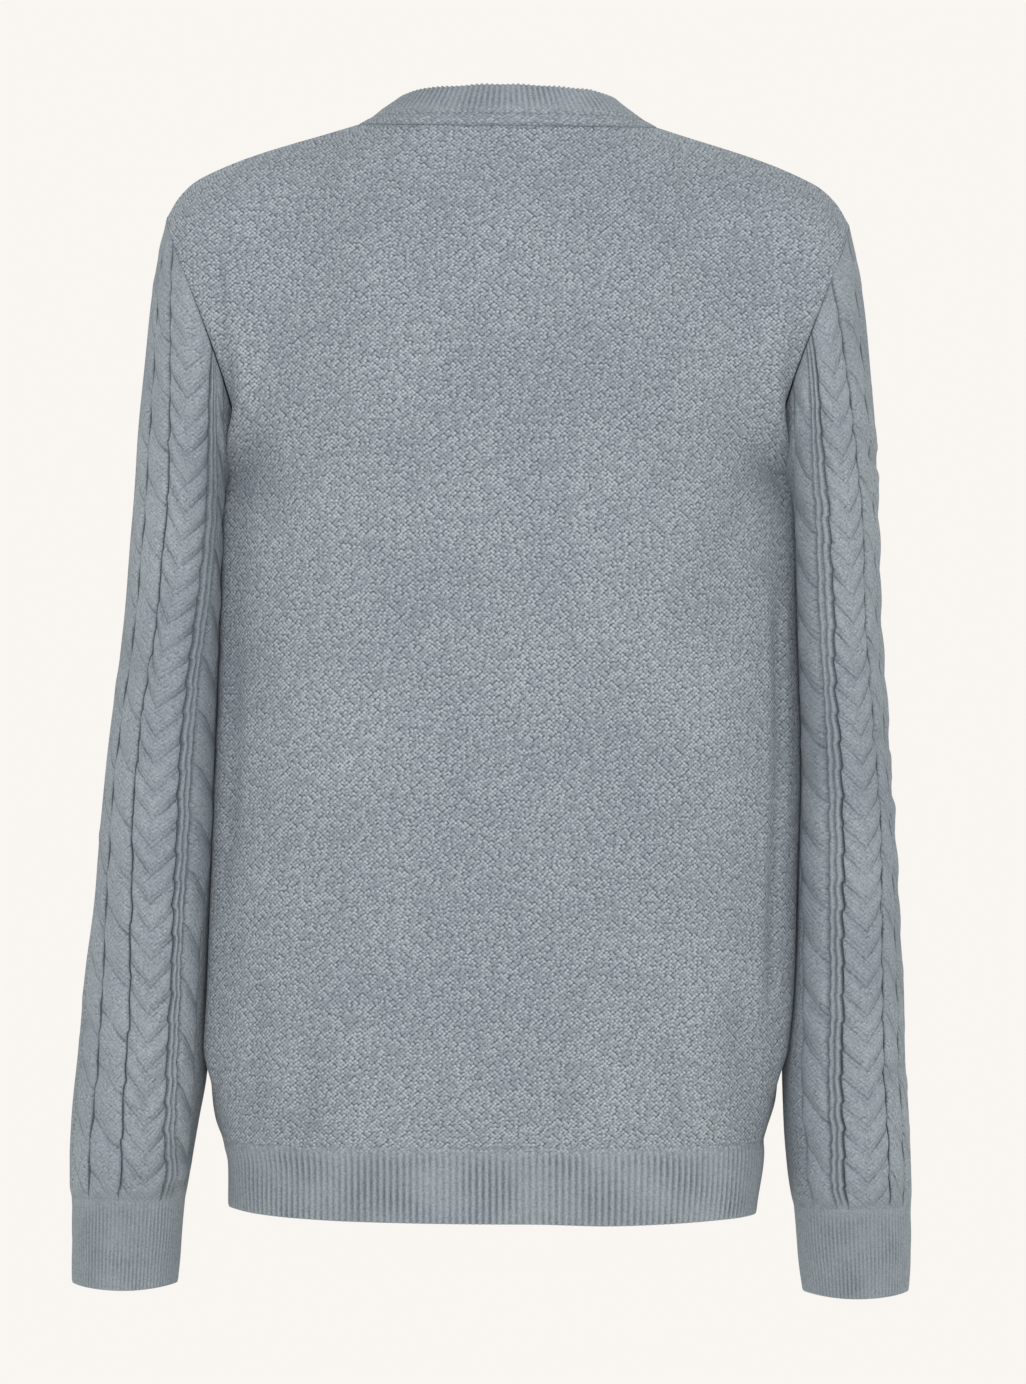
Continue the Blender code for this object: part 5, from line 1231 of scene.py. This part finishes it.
def band(name, out, rise, holes):
    """A front band, out from the middle line of the front; holes are heights of its buttonholes."""
    line, n = front_line()
    places = np.linspace(-1.0, 1.0, BAND_RIBS * PER_RIB + 1)
    x = (BAND_HALF + SEAM - SEAM_GAP) * places
    phase = (places + 1.0) / 2.0 * BAND_RIBS
    wave = bulge(phase) ** RIB_ROUND
    bare = line[None, :, :] + n[None, :, :] * out
    bare = np.repeat(bare, len(x), axis=0)
    bare[..., 0] = x[:, None]
    lift = rise * wave[:, None] + 0 * bare[..., 0]
    # painted shade in the furrows between the ribs
    painted_shade = 0.55 * (1.0 - wave[:, None]) ** FURROW_SHARP + 0 * lift
    for z in holes:
        # the slit lies across the band: a furrow between two whipped ridges, with painted shade in it
        off, side = np.abs(bare[..., 2] - z), np.abs(bare[..., 0])
        inside = ease(HOLE_HALF - side)
        lift = lift * (1.0 - inside * hill(off, 2.5))
        lift += inside * (0.9 * hill(off - 1.9, 0.9) - 0.6 * hill(off, 0.8))
        painted_shade = np.maximum(painted_shade, inside * hill(off, 0.7))
    rows = run_of(line)[None, :] / STITCH_H + 0 * lift
    facts = {"across": phase[:, None] * 2.0 + 0 * lift, "rows": rows, "moss": 0 * lift, "painted_shade": painted_shade,
             "hatch": phase[:, None] + 0 * lift}
    knit(name, bare, n[None], lift, False, (PER_RIB, 5), facts, RIB_WOOL)


band("button_band", 0.0, LOWER_BAND_RISE, ())
band("buttonhole_band", LAP, UPPER_BAND_RISE, BUTTON_HEIGHTS)


# %% [markdown]
# ## Buttons
#
# Polished resin with a dished middle and four holes. It has a clear coat look: IOR 1.5, low
# roughness, and a cloudy grain a few millimetres wide. Yarn goes through the holes in two bars.

# %% Button material
def resin():
    made, tree, shader = new_material("polished_resin")
    # clouds of about 4 mm
    where = node(tree, "TexCoord", out="Object")
    cloud = node(tree, "TexNoise", {"Vector": where, "Scale": 220.0, "Detail": 3.0, "Distortion": 1.2})
    cloudy = node(tree, "MapRange", {0: cloud, 1: 0.35, 2: 0.65}, **STEP)
    colour = node(tree, "Mix", {0: cloudy, 6: linear("#343A42"), 7: linear("#565F69")}, **COLOUR)
    tree.links.new(colour, shader.inputs["Base Color"])
    dull = node(tree, "MapRange", {0: cloud, 1: 0.3, 2: 0.7, 3: 0.22, 4: 0.34})
    tree.links.new(dull, shader.inputs["Roughness"])
    shader.inputs["IOR"].default_value = 1.5
    shader.inputs["Coat Weight"].default_value = 0.4
    shader.inputs["Coat Roughness"].default_value = 0.12
    return made


RESIN = resin()
print("made", RESIN.name)

# %% Buttons
# rings of a button from its back: radius, height
BUTTON_PROFILE = ((8.6, 0.0), (9.5, 0.4), (10.0, 1.4), (10.0, 2.6), (9.6, 3.5), (8.9, 4.0), (8.0, 3.95),
                  (7.2, 3.5), (6.5, 2.9), (5.8, 2.6))
HOLE_RADIUS, HOLE_OFFSET, BUTTON_SIDES, HOLE_SIDES = 1.1, 2.3, 48, 16
SHANK = 0.6                   # thread between the band and the button
BAR_STEPS, BAR_SIDES = 13, 8
BAR_HALF_WIDE, BAR_HALF_HIGH = 0.75, 0.35
BAR_LOW, BAR_BOW = 2.0, 1.25  # height of a bar's ends and how far its middle stands over them


def button_mesh(name, frame_of):
    """One button with four holes, closed; frame_of turns (x, y, height) into a place in metres."""
    bm = bmesh.new()

    def circle(cx, cy, r, h, sides):
        a = 2 * np.pi * np.arange(sides) / sides
        return [bm.verts.new(frame_of(cx + r * np.cos(t), cy + r * np.sin(t), h)) for t in a]

    rings = [circle(0, 0, r, h, BUTTON_SIDES) for r, h in BUTTON_PROFILE]
    for lower, upper in zip(rings, rings[1:]):
        for k in range(BUTTON_SIDES):
            m = (k + 1) % BUTTON_SIDES
            bm.faces.new((lower[k], lower[m], upper[m], upper[k]))
    walls = []
    for ring, (_, h) in ((rings[0], BUTTON_PROFILE[0]), (rings[-1], BUTTON_PROFILE[-1])):
        edges = [bm.edges.get((ring[k], ring[(k + 1) % BUTTON_SIDES])) for k in range(BUTTON_SIDES)]
        holes = [circle(sx * HOLE_OFFSET, sy * HOLE_OFFSET, HOLE_RADIUS, h, HOLE_SIDES)
                 for sx in (-1, 1) for sy in (-1, 1)]
        for hole in holes:
            edges += [bm.edges.new((hole[k], hole[(k + 1) % HOLE_SIDES])) for k in range(HOLE_SIDES)]
        bmesh.ops.triangle_fill(bm, use_beauty=True, use_dissolve=False, edges=edges)
        walls.append(holes)
    for low_hole, high_hole in zip(*walls):
        for k in range(HOLE_SIDES):
            m = (k + 1) % HOLE_SIDES
            bm.faces.new((low_hole[k], low_hole[m], high_hole[m], high_hole[k]))
    bmesh.ops.recalc_face_normals(bm, faces=bm.faces)
    mesh = bpy.data.meshes.new(name)
    bm.to_mesh(mesh)
    bm.free()
    mesh.shade_smooth()
    mesh.set_sharp_from_angle(angle=np.radians(40.0))
    mesh.materials.append(RESIN)
    return mesh


def thread_bar(frame_of, y, faces, verts):
    """A flat bar of yarn from hole to hole over the dish."""
    start = len(verts)
    for angle in np.linspace(0.0, np.pi, BAR_STEPS):
        for turn in 2 * np.pi * np.arange(BAR_SIDES) / BAR_SIDES:
            x, h = (HOLE_OFFSET + 0.2) * np.cos(angle), BAR_LOW + BAR_BOW * np.sin(angle)
            verts.append(frame_of(x, y + BAR_HALF_WIDE * np.cos(turn), h + BAR_HALF_HIGH * np.sin(turn)))
    for row in range(start, start + (BAR_STEPS - 1) * BAR_SIDES, BAR_SIDES):
        for j in range(BAR_SIDES):
            a, b = row + j, row + (j + 1) % BAR_SIDES
            faces.append((a, b, b + BAR_SIDES, a + BAR_SIDES))
    faces.append(tuple(range(start + BAR_SIDES - 1, start - 1, -1)))
    faces.append(tuple(range(start + (BAR_STEPS - 1) * BAR_SIDES, start + BAR_STEPS * BAR_SIDES)))


def buttons():
    """Six buttons on the upper band, and their thread as one piece."""
    line, n = front_line()
    verts, faces = [], []
    for number, z in enumerate(BUTTON_HEIGHTS, 1):
        base = np.array([0.0, np.interp(z, line[:, 2], line[:, 1]), z])
        out = unit(np.array([0.0, np.interp(z, line[:, 2], n[:, 1]), np.interp(z, line[:, 2], n[:, 2])]))
        up = np.array([0.0, -out[2], out[1]])
        start = base + out * (LAP + UPPER_BAND_RISE + SHANK)

        def frame_of(x, y, h):
            """A place on the button, in metres: x across the garment, y up it, h out from it."""
            return tuple((start + np.array([x, 0.0, 0.0]) + up * y + out * h) * MM)

        mesh = button_mesh(f"button_{number}_disc", frame_of)
        link(bpy.data.objects.new(mesh.name, mesh), [f"button_{number}"])
        for y in (-HOLE_OFFSET, HOLE_OFFSET):
            thread_bar(frame_of, y, faces, verts)
    mesh = bpy.data.meshes.new("button_thread")
    mesh.from_pydata(verts, [], faces)
    mesh.shade_smooth()
    mesh.materials.append(RIB_WOOL)
    names = [f"button_{k}" for k in range(1, len(BUTTON_HEIGHTS) + 1)]
    link(bpy.data.objects.new("button_thread", mesh), names)


buttons()

# %% [markdown]
# ## Camera, light and stage
#
# The camera stands level behind the garment and looks at its middle through a long lens. The world
# is the off-white ground of a catalogue picture and lights the wool evenly from all sides. A soft
# light from the upper left gives it its form, one beside the camera fills it, and two wide ones
# keep the sides of the body and the sleeves clear. From here on sizes are in metres.

# %% Camera and light
GARMENT_MIDDLE_Z = -0.34
camera_data = bpy.data.cameras.new("camera")
camera = bpy.data.objects.new("camera", camera_data)
bpy.context.scene.collection.objects.link(camera)
camera_data.lens = 208.0
camera_data.sensor_width = 36.0
camera_data.sensor_fit = "AUTO"
camera_data.clip_end = 60.0
camera.location = (0.003, -4.8, GARMENT_MIDDLE_Z)
camera.rotation_euler = (np.pi / 2, 0.0, 0.0)
bpy.context.scene.camera = camera
bpy.context.scene.view_settings.view_transform = "Standard"

world = bpy.data.worlds.new("studio")
bpy.context.scene.world = world
world.use_nodes = True
background = world.node_tree.nodes["Background"]
background.inputs["Color"].default_value = linear("#F9F6F1")
background.inputs["Strength"].default_value = 1.0


def soft_light(name, place, size, watts):
    """A round area light that looks at the garment's middle."""
    data = bpy.data.lights.new(name, "AREA")
    data.shape = "DISK"
    data.size = size
    data.energy = watts
    lamp = bpy.data.objects.new(name, data)
    bpy.context.scene.collection.objects.link(lamp)
    lamp.location = place
    away = np.array(place) - (0.0, 0.0, GARMENT_MIDDLE_Z)
    flat = np.hypot(away[0], away[1])
    lamp.rotation_euler = (np.arctan2(flat, away[2]), 0.0, np.arctan2(away[0], -away[1]))


soft_light("key", (-1.3, -3.4, 1.5), 1.0, 27.0)
soft_light("fill", (0.2, -4.4, -0.2), 1.2, 29.0)
soft_light("left_side", (-2.4, -3.4, 0.0), 1.6, 10.0)
soft_light("right_side", (3.0, -2.4, 0.1), 1.6, 18.0)
print("camera and lights set")

# %% Floor
FLOOR_HALF, FLOOR_Z = 6.0, -1.4
corners = [(x * FLOOR_HALF, y * FLOOR_HALF, FLOOR_Z) for x, y in ((-1, -1), (1, -1), (1, 1), (-1, 1))]
floor_mesh = bpy.data.meshes.new("floor")
floor_mesh.from_pydata(corners, [], [(0, 1, 2, 3)])
floor = bpy.data.objects.new("floor", floor_mesh)
bpy.context.scene.collection.objects.link(floor)
floor_paint, _, floor_shader = new_material("floor_paint")
floor_shader.inputs["Base Color"].default_value = linear("#F5F2ED")
floor_shader.inputs["Roughness"].default_value = 1.0
floor_shader.inputs["Specular IOR Level"].default_value = 0.0
floor_mesh.materials.append(floor_paint)
print("floor at", FLOOR_Z, "m, under the garment and out of the camera's view")
